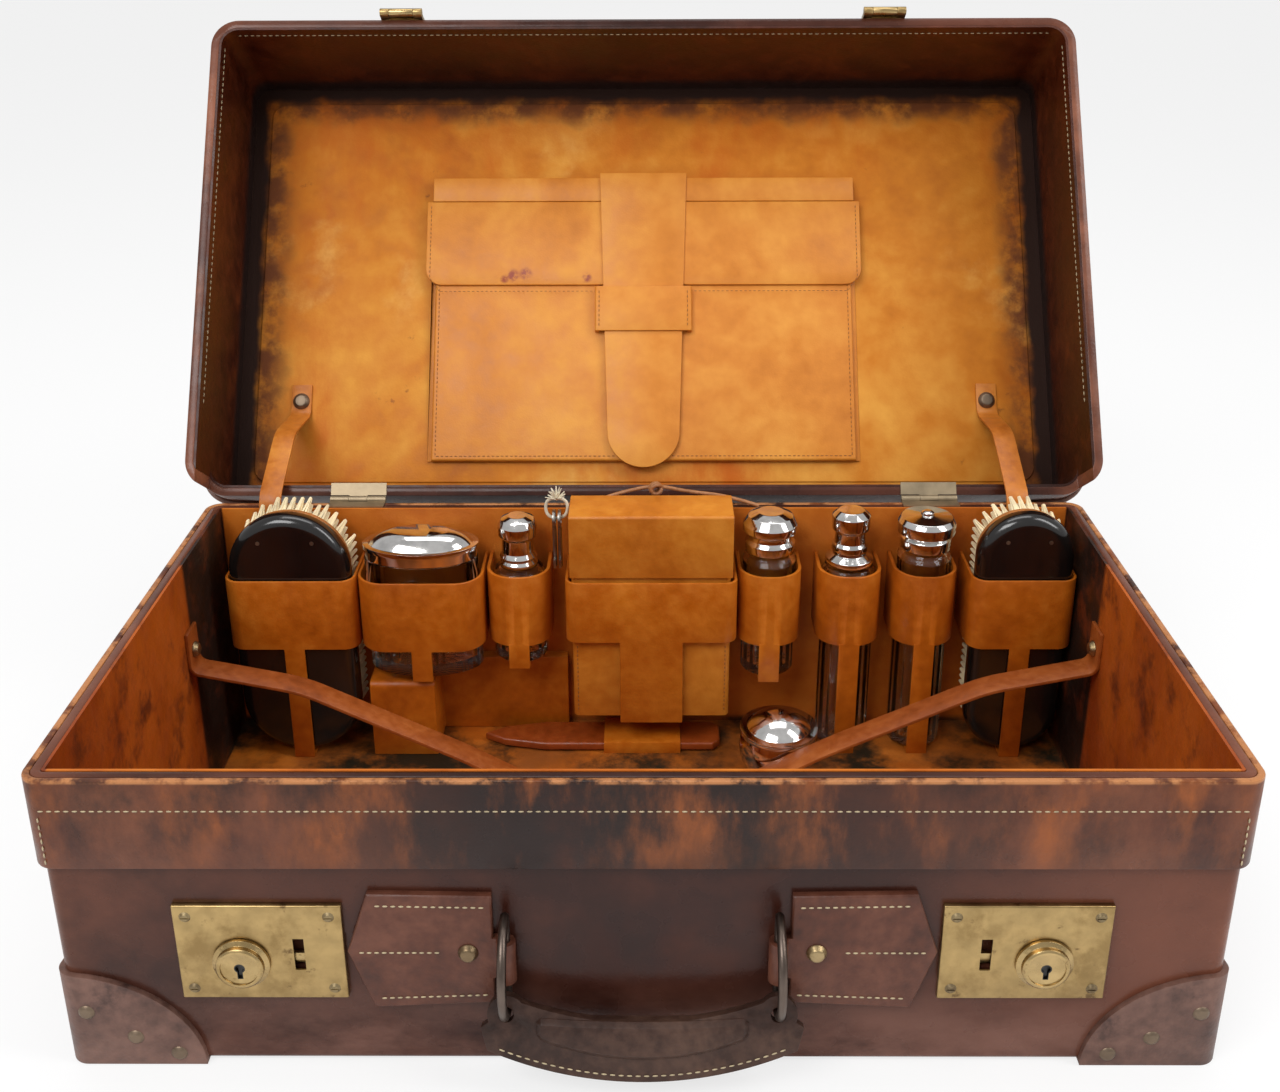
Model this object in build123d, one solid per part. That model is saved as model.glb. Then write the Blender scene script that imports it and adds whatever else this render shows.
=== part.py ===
from build123d import *
import math
import os

# A leather travelling dressing case, open: base tray, overlapping lid, locks, handle and fittings.
# Millimetres. X to the right, Y to the back, Z up; origin under the middle of the base.

# ---- base carcass
body_width = 556.0
body_depth = 304.0
base_height = 164.0
wall = 5.0
floor_thickness = 5.0
lining_thickness = 1.5
body_corner = 6.5
bottom_round = 4.0
band_height = 48.0
band_thickness = 3.5

# ---- lid
lid_clearance = 1.0
lid_wall = 5.5
lid_headroom = 61.0
skirt_overlap = 30.0
lid_top_round = 7.0
panel_thickness = 2.0
pad_thickness = 1.2
pad_margin = 12.0
lid_open_angle = 123.0

# ---- hinges
hinge_from_end = 93.0
hinge_length = 36.0
leaf_thickness = 0.8
leaf_width = 8.0
leaf_gap = 0.2
knuckle_radius = 2.4
hinge_pin_radius = 1.0
pin_running_gap = 0.05
hinge_wall_gap = 0.3

# ---- leather corner pads and rivets
pad_proud = 3.0
pad_reach = 68.0
pad_rise = 54.0
rivet_radius = 4.2
rivet_height = 1.3
rivet_offsets = ((10.0, 32.0), (32.0, 17.0), (52.0, 7.0))

# ---- locks
lock_width = 79.5
lock_height = 54.0
lock_from_end = 137.5
lock_bottom = 41.0
lock_box_depth = 3.2
lock_face = 1.2
lock_rim = 1.6
mortise_depth = 3.6
slot_width = 5.0
slot_height = 18.0
slot_from_edge = 21.5
slot_z = 67.0
boss_from_edge = 49.0
boss_z = 63.0
boss_radius = 13.6
boss_face_radius = 11.4
boss_height = 5.6
neck_radius = 4.0
slide_travel = 7.0
slide_gap = 0.4
bolt_height = 5.5
bolt_thickness = 2.2
screw_inset = 6.2
screw_radius = 2.8
screw_height = 1.0

# ---- hasps
hasp_width = 23.0
hasp_thickness = 1.8
hasp_barrel_radius = 2.8
hasp_pin_radius = 1.3
hasp_pivot_drop = 3.6
hasp_shoulder_drop = 10.0
hasp_tip_below_slot = 7.0
hasp_fold_angle = 184.0
hasp_plate_width = 28.0
hasp_plate_height = 30.0
hasp_plate_thickness = 1.5
hasp_knuckle = 16.0
staple_thickness = 2.6
staple_hole_gap = 0.6

# ---- handle
chape_lock_gap = 1.5
chape_point = 11.0
chape_inner = 70.0
chape_height = 66.0
chape_z = 69.0
chape_thickness = 4.0
chape_loop_radius = 4.6
chape_loop_height = 23.0
ring_x = 64.0
ring_z = 65.5
ring_bow = 25.0
ring_wire = 2.2
ring_stand_off = 4.8
stud_x = 82.0
stud_radius = 5.2
stud_height = 3.2
grip_half_length = 76.0
grip_thickness = 12.0
eye_thickness = 6.0
eye_radius = 9.0
eye_hole_radius = 3.6
grip_top = 29.0
grip_bottom = 57.0
handle_rest_tilt = 20.0

# ---- fittings: place from the end wall they stand nearest to, width, depth, lowest and highest point
loop_low = 86.0
loop_high = 134.0
loop_leather = 2.0
loop_gap = 1.0
fitting_back_gap = 3.0
sling_width = 13.0
brush_left_from_end = 50.5
brush_left_width = 76.0
brush_right_from_end = 34.0
brush_right_width = 60.0
brush_top = 176.0
brush_depth = 41.5
ebony_thickness = 11.0
brush_body_thickness = 6.0
bristle_length = 18.0
bristle_size = 1.5
bristle_pitch = 6.8
brush_edge_round = 7.0
jar_from_end = 131.5
jar_width = 72.0
jar_depth = 42.0
jar_bottom = 67.0
jar_shoulder = 143.0
jar_top = 160.0
glass_wall = 3.0
bottle_radius = 17.0
neck_bore = 6.0
neck_outer = 8.5
bottle_from_end = (192.5, 191.5, 141.0, 93.5)
cap_gap = 0.3
case_from_bottle_1 = 34.0
case_from_bottle_2 = 25.0
case_depth = 32.0
case_bottom = 34.0
case_top = 176.0
case_leather = 2.0
case_loop_low = 90.0
case_loop_high = 132.0
case_flap_drop = 42.0
pot_from_bottle_2 = 5.0
pot_from_back = 66.5
pot_radius = 24.5
pot_wall = 1.6
pot_rim_radius = 24.3
pot_split = 13.0
pot_foot = 1.0

riser_from_jar = 36.0
riser_high_width = 42.0
riser_below_jar = 6.5

# ---- luggage straps, sheath, lace and keys
strap_width = 18.0
strap_thickness = 2.2
strap_anchor_z = 110.0
strap_anchor_from_back = 85.5
strap_centre_from_back = 109.5
sheath_from_riser = 29.0
sheath_past_case = 45.0
sheath_width = 27.0
sheath_thickness = 5.0
sheath_from_back = 11.5
sheath_keeper_offset = 31.0
sheath_keeper_width = 50.0
keeper_leather = 1.4
lace_radius = 1.2
knot_forward = 2.4
key_from_case = 9.0
key_from_back = 21.5
key_spacing = 3.4
key_thickness = 1.8
key_bow_radius = 6.0
key_eye = 3.4
key_string_z = 168.0
string_radius = 1.0
string_ring_radius = 6.0
key_hang_gap = 1.0

# ---- wallet on the lid: distances run from the hinge along the lid
pocket_half = 147.0
pocket_low = 36.0
mouth_below_crease = 18.0
pocket_thickness = 4.0
wallet_back_half = 150.0
wallet_back_thickness = 1.4
flap_half = 154.0
flap_length = 62.0
crease = 224.0
strip_above_crease = 18.0
flap_thickness = 2.0
tongue_above_crease = 21.0
tongue_tip = 30.5
tongue_half_top = 31.0
tongue_half_low = 25.0
tongue_thickness = 1.6
keeper_below_flap = 2.0
keeper_length = 32.5
keeper_half = 34.0
leather_gap = 0.3

# ---- stay straps
stay_from_end = 32.5
stay_width = 14.0
stay_thickness = 1.8
stay_anchor_low = 132.0
stay_stud_along = 79.0
stay_stud_radius = 6.0

# ---- worked out from the sizes above
half_width = body_width / 2
front = -body_depth / 2
back = body_depth / 2
band_corner = body_corner + band_thickness
inner_back = back - wall - lining_thickness
inner_half = half_width - wall - lining_thickness
floor_top = floor_thickness + lining_thickness
band_half = half_width + band_thickness
band_front = front - band_thickness
band_back = back + band_thickness
seat = base_height + 2 * leaf_thickness + leaf_gap
hinge_y = band_back + knuckle_radius + hinge_wall_gap
hinge_z = base_height + leaf_thickness + leaf_gap / 2
lid_inner_half = band_half + lid_clearance
lid_shell_half = lid_inner_half + lining_thickness
lid_half = lid_shell_half + lid_wall
lid_inner_front = band_front - lid_clearance
lid_shell_front = lid_inner_front - lining_thickness
lid_front = lid_shell_front - lid_wall
lid_back = band_back
lid_shell_back = lid_back - lid_wall
lid_inner_back = lid_shell_back - lining_thickness
lid_bottom = base_height - skirt_overlap
panel_face = base_height + lid_headroom
lid_ceiling = panel_face + panel_thickness
lid_top = lid_ceiling + lid_wall
lid_inner_corner = band_corner + lid_clearance
lid_shell_corner = lid_inner_corner + lining_thickness
lid_corner = lid_shell_corner + lid_wall
lock_front = front - lock_box_depth
ring_y = front - ring_stand_off
hinge_spacing = half_width - hinge_from_end
lock_left_edge = half_width - lock_from_end
slot_x = lock_left_edge + slot_from_edge
boss_x = lock_left_edge + boss_from_edge
chape_tip = lock_left_edge - chape_lock_gap
chape_shoulder = chape_tip - chape_point
stay_x = inner_half - stay_from_end
brush_left_x = -inner_half + brush_left_from_end
brush_right_x = inner_half - brush_right_from_end
brush_front = inner_back - brush_depth
jar_x = -inner_half + jar_from_end
bottle_1_x = -inner_half + bottle_from_end[0]
bottle_2_x, bottle_3_x, bottle_4_x = [inner_half - distance for distance in bottle_from_end[1:]]
case_left = bottle_1_x + case_from_bottle_1
case_width = bottle_2_x - case_from_bottle_2 - case_left
case_x = case_left + case_width / 2
pot_x = bottle_2_x + pot_from_bottle_2
pot_y = inner_back - pot_from_back
riser_left = jar_x - riser_from_jar
riser_step = riser_left + riser_high_width
riser_top = jar_bottom - riser_below_jar
strap_anchor_y = inner_back - strap_anchor_from_back
strap_centre_y = inner_back - strap_centre_from_back
sheath_left = riser_step + sheath_from_riser
sheath_right = case_x + sheath_past_case
sheath_back = inner_back - sheath_from_back
keeper_left = case_x - sheath_keeper_offset
keeper_right = keeper_left + sheath_keeper_width
key_x = case_left - key_from_case
key_y = inner_back - key_from_back
pocket_mouth = crease - mouth_below_crease
flap_edge = crease - flap_length
flap_top = crease + strip_above_crease
tongue_top = crease + tongue_above_crease
keeper_high = flap_edge - keeper_below_flap
keeper_low = keeper_high - keeper_length


def slab(x_low, x_high, y_low, y_high, z_low, z_high):
    """A plain block between two corners."""
    size = Box(x_high - x_low, y_high - y_low, z_high - z_low)
    return Pos((x_low + x_high) / 2, (y_low + y_high) / 2, (z_low + z_high) / 2) * size


def rounded_block(half, y_low, y_high, radius, z_low, z_high):
    """An upright block with rounded vertical edges, centred on X."""
    plan = RectangleRounded(2 * half, y_high - y_low, radius)
    return Pos(0, (y_low + y_high) / 2, z_low) * extrude(plan, z_high - z_low)


def both_sides(piece):
    """The piece and its mirror image across the middle of the case."""
    return [piece, mirror(piece, about=Plane.YZ)]


def opened(piece):
    """Swing a piece of the closed lid back to its open place."""
    return piece.rotate(Axis((0, hinge_y, hinge_z), (1, 0, 0)), -lid_open_angle)


def save(name, *pieces):
    """Write one node: a single solid, or a group of separate ones."""
    solids = [solid for piece in pieces for solid in piece.solids()]
    whole = solids[0] if len(solids) == 1 else Compound(children=solids)
    export_step(whole, f"parts/{name}.step")


def along_front(x, y, z, piece):
    """Stand a piece built along +Z on the front face, pointing forwards."""
    return Pos(x, y, z) * Rot(90, 0, 0) * piece


def dome(radius, height):
    """A low rivet head, flat side down."""
    return Cone(radius, 0.62 * radius, height, align=(Align.CENTER, Align.CENTER, Align.MIN))


# ================================================================ base
def make_base_shell():
    shell = rounded_block(half_width, front, back, body_corner, 0, base_height)
    shell = fillet(shell.faces().sort_by(Axis.Z)[0].edges(), bottom_round)
    inner_corner = max(body_corner - wall, 1.0)
    hollow_front, hollow_back = front + wall, back - wall
    shell -= rounded_block(half_width - wall, hollow_front, hollow_back, inner_corner,
                           floor_thickness, base_height)
    for mortise in both_sides(lock_mortise()):
        shell -= mortise
    return shell


def lock_mortise():
    """Pocket in the front wall that lets the lock bolt and the staple in."""
    x_low = slot_x - slot_width
    x_high = boss_x + neck_radius + slide_travel + 2.0
    return slab(x_low, x_high, front, front + mortise_depth,
                slot_z - slot_height / 2, slot_z + slot_height / 2)


def make_rim_band():
    z_low = base_height - band_height
    band = rounded_block(band_half, band_front, band_back, band_corner, z_low, base_height)
    return band - rounded_block(half_width, front, back, body_corner, z_low, base_height)


def make_base_lining():
    outer_corner = max(body_corner - wall, 1.0)
    tray = rounded_block(half_width - wall, front + wall, back - wall, outer_corner,
                         floor_thickness, base_height)
    return tray - slab(-inner_half, inner_half, -inner_back, inner_back, floor_top, base_height)


def corner_pads(core, grown, y_front, y_back, half, z_edge, over_top):
    """Leather caps on four corners: what a curved outline keeps of a skin round the corner."""
    outline = extrude(Plane.XZ * Ellipse(pad_reach, pad_rise), pad_reach, both=True)
    outline &= extrude(Plane.YZ * Ellipse(pad_reach, pad_rise), pad_reach, both=True)
    if over_top:
        outline &= extrude(Ellipse(pad_reach, pad_reach), pad_rise, both=True)
    skin = grown - core
    pads = []
    for x_edge in (-half, half):
        for y_edge in (y_front, y_back):
            pads.append(skin & (Pos(x_edge, y_edge, z_edge) * outline))
    return pads


def make_base_corner_pads():
    core = rounded_block(half_width, front, back, body_corner, 0, base_height)
    core = fillet(core.faces().sort_by(Axis.Z)[0].edges(), bottom_round)
    half = half_width + pad_proud
    grown = rounded_block(half, front - pad_proud, back + pad_proud, body_corner + pad_proud,
                          0, pad_rise + bottom_round)
    return corner_pads(core, grown, front - pad_proud, back + pad_proud, half, 0, False)


def make_corner_rivets():
    rivets = []
    head = dome(rivet_radius, rivet_height)
    for inset, z in rivet_offsets:
        x = half_width - inset
        y = back - inset
        for side in (-1, 1):
            rivets.append(Pos(side * x, front - pad_proud, z) * Rot(90, 0, 0) * head)
            rivets.append(Pos(side * x, back + pad_proud, z) * Rot(-90, 0, 0) * head)
            for y_place in (-y, y):
                place = Pos(side * (half_width + pad_proud), y_place, z)
                rivets.append(place * Rot(0, side * 90, 0) * head)
    return rivets


# ================================================================ locks
def make_lock_plate():
    """Boxed brass plate: thin face, folded rim, staple slot and a slot for the boss's neck."""
    x_high = lock_left_edge + lock_width
    z_high = lock_bottom + lock_height
    plate = slab(lock_left_edge, x_high, lock_front, front, lock_bottom, z_high)
    plate = chamfer(plate.faces().sort_by(Axis.Y)[0].edges(), 0.6)
    plate -= slab(lock_left_edge + lock_rim, x_high - lock_rim, lock_front + lock_face, front,
                  lock_bottom + lock_rim, z_high - lock_rim)
    half = slot_width / 2
    plate -= slab(slot_x - half, slot_x + half, lock_front, front,
                  slot_z - slot_height / 2, slot_z + slot_height / 2)
    neck_room = neck_radius + slide_gap
    plate -= slab(boss_x - neck_room, boss_x + neck_room + slide_travel, lock_front, front,
                  boss_z - neck_room, boss_z + neck_room)
    return plate


def make_lock_slider():
    """Turned keyhole boss on a neck, with the flat bolt behind the plate."""
    profile = Polyline((0, 0), (boss_radius, 0), (boss_radius, 1.6), (boss_face_radius, 2.6),
                       (boss_face_radius, boss_height - 0.8), (boss_face_radius - 1, boss_height),
                       (boss_face_radius - 2.4, boss_height), (boss_face_radius - 2.4, boss_height - 1),
                       (0, boss_height - 1), (0, 0))
    boss = revolve(Plane.XZ * make_face(profile), Axis.Z)
    keyhole = Cylinder(2.0, boss_height) + Pos(0, -3.2, 0) * Box(2.0, 5.0, boss_height)
    boss -= Pos(0, 0, boss_height) * keyhole
    y_face = lock_front - slide_gap
    slider = along_front(boss_x, y_face, boss_z, boss)
    bolt_back = front + mortise_depth - 1.0
    neck = Cylinder(neck_radius, bolt_back - y_face, align=(Align.CENTER, Align.CENTER, Align.MAX))
    slider += along_front(boss_x, y_face, boss_z, neck)
    bolt_low = slot_z - slot_height / 2 + 1.5
    bolt_tip = slot_x - slot_width / 2 - 1.0
    slider += slab(bolt_tip, boss_x, bolt_back - bolt_thickness, bolt_back,
                   bolt_low, bolt_low + bolt_height)
    return slider


def make_lock_screws():
    screws = []
    for x in (lock_left_edge + screw_inset, lock_left_edge + lock_width - screw_inset):
        for z in (lock_bottom + screw_inset, lock_bottom + lock_height - screw_inset):
            head = dome(screw_radius, screw_height)
            head -= Pos(0, 0, screw_height) * Box(2 * screw_radius, 0.8, 0.8)
            screws += both_sides(along_front(x, lock_front, z, head))
    return screws


# ================================================================ handle
def make_chape():
    """Pointed leather tab on the front, folded round the straight bar of the ring."""
    low = chape_z - chape_height / 2
    high = chape_z + chape_height / 2
    outline = Polyline((chape_inner, low + 3), (chape_shoulder, low), (chape_tip, chape_z),
                       (chape_shoulder, high), (chape_inner, high - 1), (chape_inner, low + 3))
    tab = Pos(0, front, 0) * extrude(Plane.XZ * make_face(outline), chape_thickness)
    tab = chamfer(tab.faces().sort_by(Axis.Y)[0].edges(), 0.8)
    fold = Pos(ring_x, ring_y, ring_z) * Cylinder(chape_loop_radius, chape_loop_height)
    fold += slab(ring_x, chape_inner + 1, front - chape_thickness, front,
                 ring_z - chape_loop_height / 2, ring_z + chape_loop_height / 2)
    chape = tab + fold
    chape -= Pos(ring_x, ring_y, ring_z) * Cylinder(ring_wire + pin_running_gap, base_height)
    return chape


def make_handle_ring():
    """D ring: a half round bow in front of a straight upright bar."""
    bow = Rot(0, 90, 0) * Torus(ring_bow, ring_wire)
    reach = ring_bow + 2 * ring_wire
    bow -= slab(-reach, reach, 0, reach, -reach, reach)
    ring = bow + Cylinder(ring_wire, 2 * ring_bow)
    ring += Pos(0, 0, ring_bow) * Sphere(ring_wire)
    ring += Pos(0, 0, -ring_bow) * Sphere(ring_wire)
    return Pos(ring_x, ring_y, ring_z) * ring


def make_studs():
    """Four brass studs: one on each chape and one on each side wall for a luggage strap."""
    stud = dome(stud_radius, stud_height)
    y_chape = front - chape_thickness
    x_wall = inner_half - strap_thickness
    wall_stud = Pos(x_wall, strap_anchor_y, strap_anchor_z) * Rot(0, -90, 0) * stud
    return both_sides(along_front(stud_x, y_chape, chape_z, stud)) + both_sides(wall_stud)


def make_handle_grip():
    """Stitched leather grip, hung from the bows of the two rings and tipped off the wall."""
    eye_top = ring_bow - eye_radius
    corner = (grip_half_length, -(ring_bow + 6))
    top = ThreePointArc((-ring_x + 6, -eye_top - 3), (0, -grip_top), (ring_x - 6, -eye_top - 3))
    bottom = ThreePointArc((-grip_half_length + 3, -(ring_bow + 17)), (0, -grip_bottom),
                           (grip_half_length - 3, -(ring_bow + 17)))
    left = Polyline((-ring_x + 6, -eye_top - 3), (-corner[0], corner[1]),
                    (-grip_half_length + 3, -(ring_bow + 17)))
    right = Polyline((ring_x - 6, -eye_top - 3), corner, (grip_half_length - 3, -(ring_bow + 17)))
    outline = make_face([top, left, bottom, right])
    flange = extrude(Plane.XZ * outline, eye_thickness / 2, both=True)
    roll_top = ThreePointArc((-50, -26), (0, -grip_top + 1), (50, -26))
    roll_low = ThreePointArc((-50, -36), (0, -grip_top - 17), (50, -36))
    roll_face = make_face([roll_top, roll_low, Line((-50, -26), (-50, -36)), Line((50, -26), (50, -36))])
    roll = extrude(Plane.XZ * roll_face, grip_thickness / 2, both=True)
    roll = chamfer(roll.edges(), 2.4)
    grip = flange + roll
    for side in (-1, 1):
        eye = Pos(side * ring_x, 0, -ring_bow) * Rot(90, 0, 0)
        grip += eye * Cylinder(eye_radius, eye_thickness)
    for side in (-1, 1):
        eye = Pos(side * ring_x, 0, -ring_bow) * Rot(90, 0, 0)
        grip -= eye * Cylinder(eye_hole_radius, 4 * eye_thickness)
    hung = Pos(0, ring_y, ring_z) * grip
    return hung.rotate(Axis((0, ring_y, ring_z), (1, 0, 0)), -handle_rest_tilt)


# ================================================================ hinges
def hinge_knuckles(x_mid, offsets, length):
    """Barrel pieces of one hinge, bored for the pin."""
    bore = hinge_pin_radius + pin_running_gap
    knuckles = []
    for offset in offsets:
        place = Pos(x_mid + offset, hinge_y, hinge_z) * Rot(0, 90, 0)
        knuckles.append(place * (Cylinder(knuckle_radius, length) - Cylinder(bore, length)))
    return knuckles


def make_hinge_half(x_mid, offsets, z_low):
    """A leaf on the rim or under the lid wall, with tongues that run into its knuckles."""
    length = hinge_length / 3 - leaf_gap
    y_edge = band_back - hinge_wall_gap
    leaf = slab(x_mid - hinge_length / 2, x_mid + hinge_length / 2, y_edge - leaf_width, y_edge,
                z_low, z_low + leaf_thickness)
    for offset in offsets:
        tongue = slab(x_mid + offset - length / 2, x_mid + offset + length / 2, y_edge, hinge_y,
                      z_low, z_low + leaf_thickness)
        tongue -= Pos(x_mid, hinge_y, hinge_z) * Rot(0, 90, 0) * Cylinder(
            knuckle_radius - leaf_thickness, hinge_length)
        leaf += tongue
    for knuckle in hinge_knuckles(x_mid, offsets, length):
        leaf += knuckle
    return leaf


def make_hinge_pin(x_mid):
    return Pos(x_mid, hinge_y, hinge_z) * Rot(0, 90, 0) * Cylinder(hinge_pin_radius, hinge_length)


# ================================================================ lid, drawn closed
def seat_cut():
    """Room over the back rim, where the lid's back wall stops on the base."""
    corner_start = lid_inner_back - lid_shell_corner - 1
    return slab(-lid_inner_half, lid_inner_half, corner_start, lid_back + 1, lid_bottom, seat)


def make_lid_shell():
    shell = rounded_block(lid_half, lid_front, lid_back, lid_corner, lid_bottom, lid_top)
    shell = fillet(shell.faces().sort_by(Axis.Z)[-1].edges(), lid_top_round)
    shell -= rounded_block(lid_shell_half, lid_shell_front, lid_shell_back, lid_shell_corner,
                       lid_bottom, lid_ceiling)
    return shell - seat_cut()


def make_lid_lining():
    ring = rounded_block(lid_shell_half, lid_shell_front, lid_shell_back, lid_shell_corner,
                     lid_bottom, panel_face)
    ring -= rounded_block(lid_inner_half, lid_inner_front, lid_inner_back, lid_inner_corner,
                      lid_bottom, panel_face)
    return ring - seat_cut()


def make_lid_panel():
    """Thin board under the lid's top with a tan pad on it, framed by a darker border."""
    board = rounded_block(lid_shell_half, lid_shell_front, lid_shell_back, lid_shell_corner,
                      panel_face, lid_ceiling)
    pad = rounded_block(lid_inner_half - pad_margin, lid_inner_front + pad_margin,
                        lid_inner_back - pad_margin, lid_inner_corner,
                        panel_face - pad_thickness, panel_face)
    return board + chamfer(pad.faces().sort_by(Axis.Z)[0].edges(), pad_thickness / 2)


def make_lid_corner_pads():
    core = rounded_block(lid_half, lid_front, lid_back, lid_corner, lid_bottom, lid_top)
    core = fillet(core.faces().sort_by(Axis.Z)[-1].edges(), lid_top_round)
    half = lid_half + pad_proud
    grown = rounded_block(half, lid_front - pad_proud, lid_back + pad_proud, lid_corner + pad_proud,
                      lid_bottom, lid_top + pad_proud)
    grown = fillet(grown.faces().sort_by(Axis.Z)[-1].edges(), lid_top_round + pad_proud)
    z_edge = lid_top + pad_proud
    return corner_pads(core, grown, lid_front - pad_proud, lid_back + pad_proud, half, z_edge, True)


# ================================================================ hasps, drawn closed
hasp_y = lid_front - hasp_barrel_radius - 0.4
hasp_z = lid_bottom - hasp_pivot_drop


def make_hasp_plate():
    """Plate riveted to the lid's front wall, with two knuckles and the pin through them."""
    x_low = slot_x - hasp_plate_width / 2
    x_high = slot_x + hasp_plate_width / 2
    plate = slab(x_low, x_high, lid_front - hasp_plate_thickness, lid_front,
                 lid_bottom + 1, lid_bottom + hasp_plate_height)
    plate = fillet(plate.edges().filter_by(Axis.Y), 4.0)
    side = (hasp_plate_width - hasp_knuckle) / 2 - leaf_gap
    for x in (x_low, x_high - side):
        barrel = Pos(x + side / 2, hasp_y, hasp_z) * Rot(0, 90, 0) * Cylinder(hasp_barrel_radius, side)
        neck = slab(x, x + side, hasp_y - 0.6, lid_front, hasp_z, lid_bottom + 5)
        neck &= slab(x, x + side, hasp_y - 0.6, hasp_y + hasp_barrel_radius - 0.2, hasp_z, lid_bottom + 5)
        plate += barrel + neck
    return plate + Pos(slot_x, hasp_y, hasp_z) * Rot(0, 90, 0) * Cylinder(hasp_pin_radius, hasp_plate_width)


def make_hasp():
    """Cranked hasp with a rounded end and the staple that enters the lock."""
    y_face = lock_front - leather_gap
    tip_z = slot_z - slot_height / 2 - hasp_tip_below_slot
    t = hasp_thickness
    side = Polyline((hasp_y - t / 2, hasp_z), (hasp_y - t / 2, hasp_z - 9), (y_face - t, hasp_z - 24),
                    (y_face - t, tip_z), (y_face, tip_z), (y_face, hasp_z - 24),
                    (hasp_y + t / 2, hasp_z - 9), (hasp_y + t / 2, hasp_z), (hasp_y - t / 2, hasp_z))
    leaf = Pos(slot_x, 0, 0) * extrude(Plane.YZ * make_face(side), hasp_width / 2, both=True)
    middle = (hasp_z + tip_z) / 2
    face = SlotOverall(hasp_z - tip_z + hasp_width, hasp_width, rotation=90)
    outline = extrude(Plane.XZ * face, body_depth, both=True)
    leaf &= Pos(slot_x, 0, middle + hasp_width / 2) * outline
    knuckle = Pos(slot_x, hasp_y, hasp_z) * Rot(0, 90, 0) * Cylinder(hasp_barrel_radius, hasp_knuckle)
    shoulder = slab(slot_x - hasp_width, slot_x - hasp_knuckle / 2 - leaf_gap, hasp_y - 8, hasp_y + 8,
                    hasp_z - hasp_shoulder_drop, hasp_z + 4)
    leaf -= shoulder
    leaf -= Pos(2 * slot_x, 0, 0) * mirror(shoulder, about=Plane.YZ)
    hasp = leaf + knuckle
    hasp -= Pos(slot_x, hasp_y, hasp_z) * Rot(0, 90, 0) * Cylinder(
        hasp_pin_radius + pin_running_gap, hasp_plate_width)
    low = slot_z - slot_height / 2 + leather_gap + 0.5
    high = slot_z + slot_height / 2 - leather_gap - 0.5
    staple_back = front + mortise_depth - 0.5
    staple = slab(slot_x - staple_thickness / 2, slot_x + staple_thickness / 2, y_face - t / 2,
                  staple_back, low, high)
    bolt_back = front + mortise_depth - 1.0
    bolt_low = slot_z - slot_height / 2 + 1.5
    staple -= slab(slot_x - slot_width, slot_x + slot_width, bolt_back - bolt_thickness - staple_hole_gap,
                   staple_back + 1, bolt_low - staple_hole_gap, bolt_low + bolt_height + staple_hole_gap)
    return hasp + staple


# ================================================================ wallet on the lid, drawn closed
def along_lid(distance):
    """Y of a point at this distance from the hinge, along the closed lid."""
    return hinge_y - distance


wallet_face = panel_face - pad_thickness
pocket_face = wallet_face - wallet_back_thickness - pocket_thickness
flap_low = pocket_face - leather_gap - flap_thickness
tongue_low = flap_low - leather_gap - tongue_thickness


def make_wallet_pocket():
    """Back leaf sewn to the pad, with a flat pocket whose mouth is under the flap."""
    backing = slab(-wallet_back_half, wallet_back_half, along_lid(flap_top), along_lid(pocket_low),
                   wallet_face - wallet_back_thickness, wallet_face)
    pouch = slab(-pocket_half, pocket_half, along_lid(pocket_mouth), along_lid(pocket_low),
                 pocket_face, wallet_face - wallet_back_thickness)
    pouch = chamfer(pouch.faces().sort_by(Axis.Z)[0].edges(), 1.0)
    room = 2.0
    pouch -= slab(-pocket_half + room, pocket_half - room, along_lid(pocket_mouth),
                  along_lid(pocket_low + room), pocket_face + 1.2, wallet_face - wallet_back_thickness)
    strip = slab(-wallet_back_half, wallet_back_half, along_lid(flap_top), along_lid(crease + leather_gap),
                 flap_low, wallet_face - wallet_back_thickness)
    return backing + pouch + strip


def make_wallet_flap():
    flap = slab(-flap_half, flap_half, along_lid(crease), along_lid(flap_edge),
                flap_low, flap_low + flap_thickness)
    outer_corners = flap.edges().filter_by(Axis.Z).sort_by(Axis.Y)[-2:]
    return fillet(outer_corners, 12.0)


def make_wallet_tongue():
    """Strap down the middle of the flap: rounded tip, passed under the keeper."""
    y_top, y_tip = along_lid(tongue_top), along_lid(tongue_tip)
    y_round = y_tip - tongue_half_low
    outline = [Line((-tongue_half_top, y_top), (tongue_half_top, y_top)),
               Line((tongue_half_top, y_top), (tongue_half_low, y_round)),
               ThreePointArc((tongue_half_low, y_round), (0, y_tip), (-tongue_half_low, y_round)),
               Line((-tongue_half_low, y_round), (-tongue_half_top, y_top))]
    return Pos(0, 0, tongue_low) * extrude(make_face(outline), tongue_thickness)


def make_wallet_keeper():
    """Leather bridge sewn to the pocket on both sides of the tongue."""
    outer_low = tongue_low - leather_gap - 1.5
    bridge = slab(-keeper_half, keeper_half, along_lid(keeper_high), along_lid(keeper_low),
                  outer_low, pocket_face)
    bridge = chamfer(bridge.faces().sort_by(Axis.Z)[0].edges().filter_by(Axis.Y), 1.0)
    inner = tongue_half_top - 0.5
    return bridge - slab(-inner, inner, along_lid(keeper_high), along_lid(keeper_low),
                         tongue_low - leather_gap, pocket_face)


# ================================================================ stay straps
def stay_stud_place():
    """Where the strap is studded to the open lid: Y and Z on the face of the pad."""
    turn = math.radians(-lid_open_angle)
    y, z = -stay_stud_along, wallet_face - hinge_z
    return (hinge_y + y * math.cos(turn) - z * math.sin(turn),
            hinge_z + y * math.sin(turn) + z * math.cos(turn))


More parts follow.
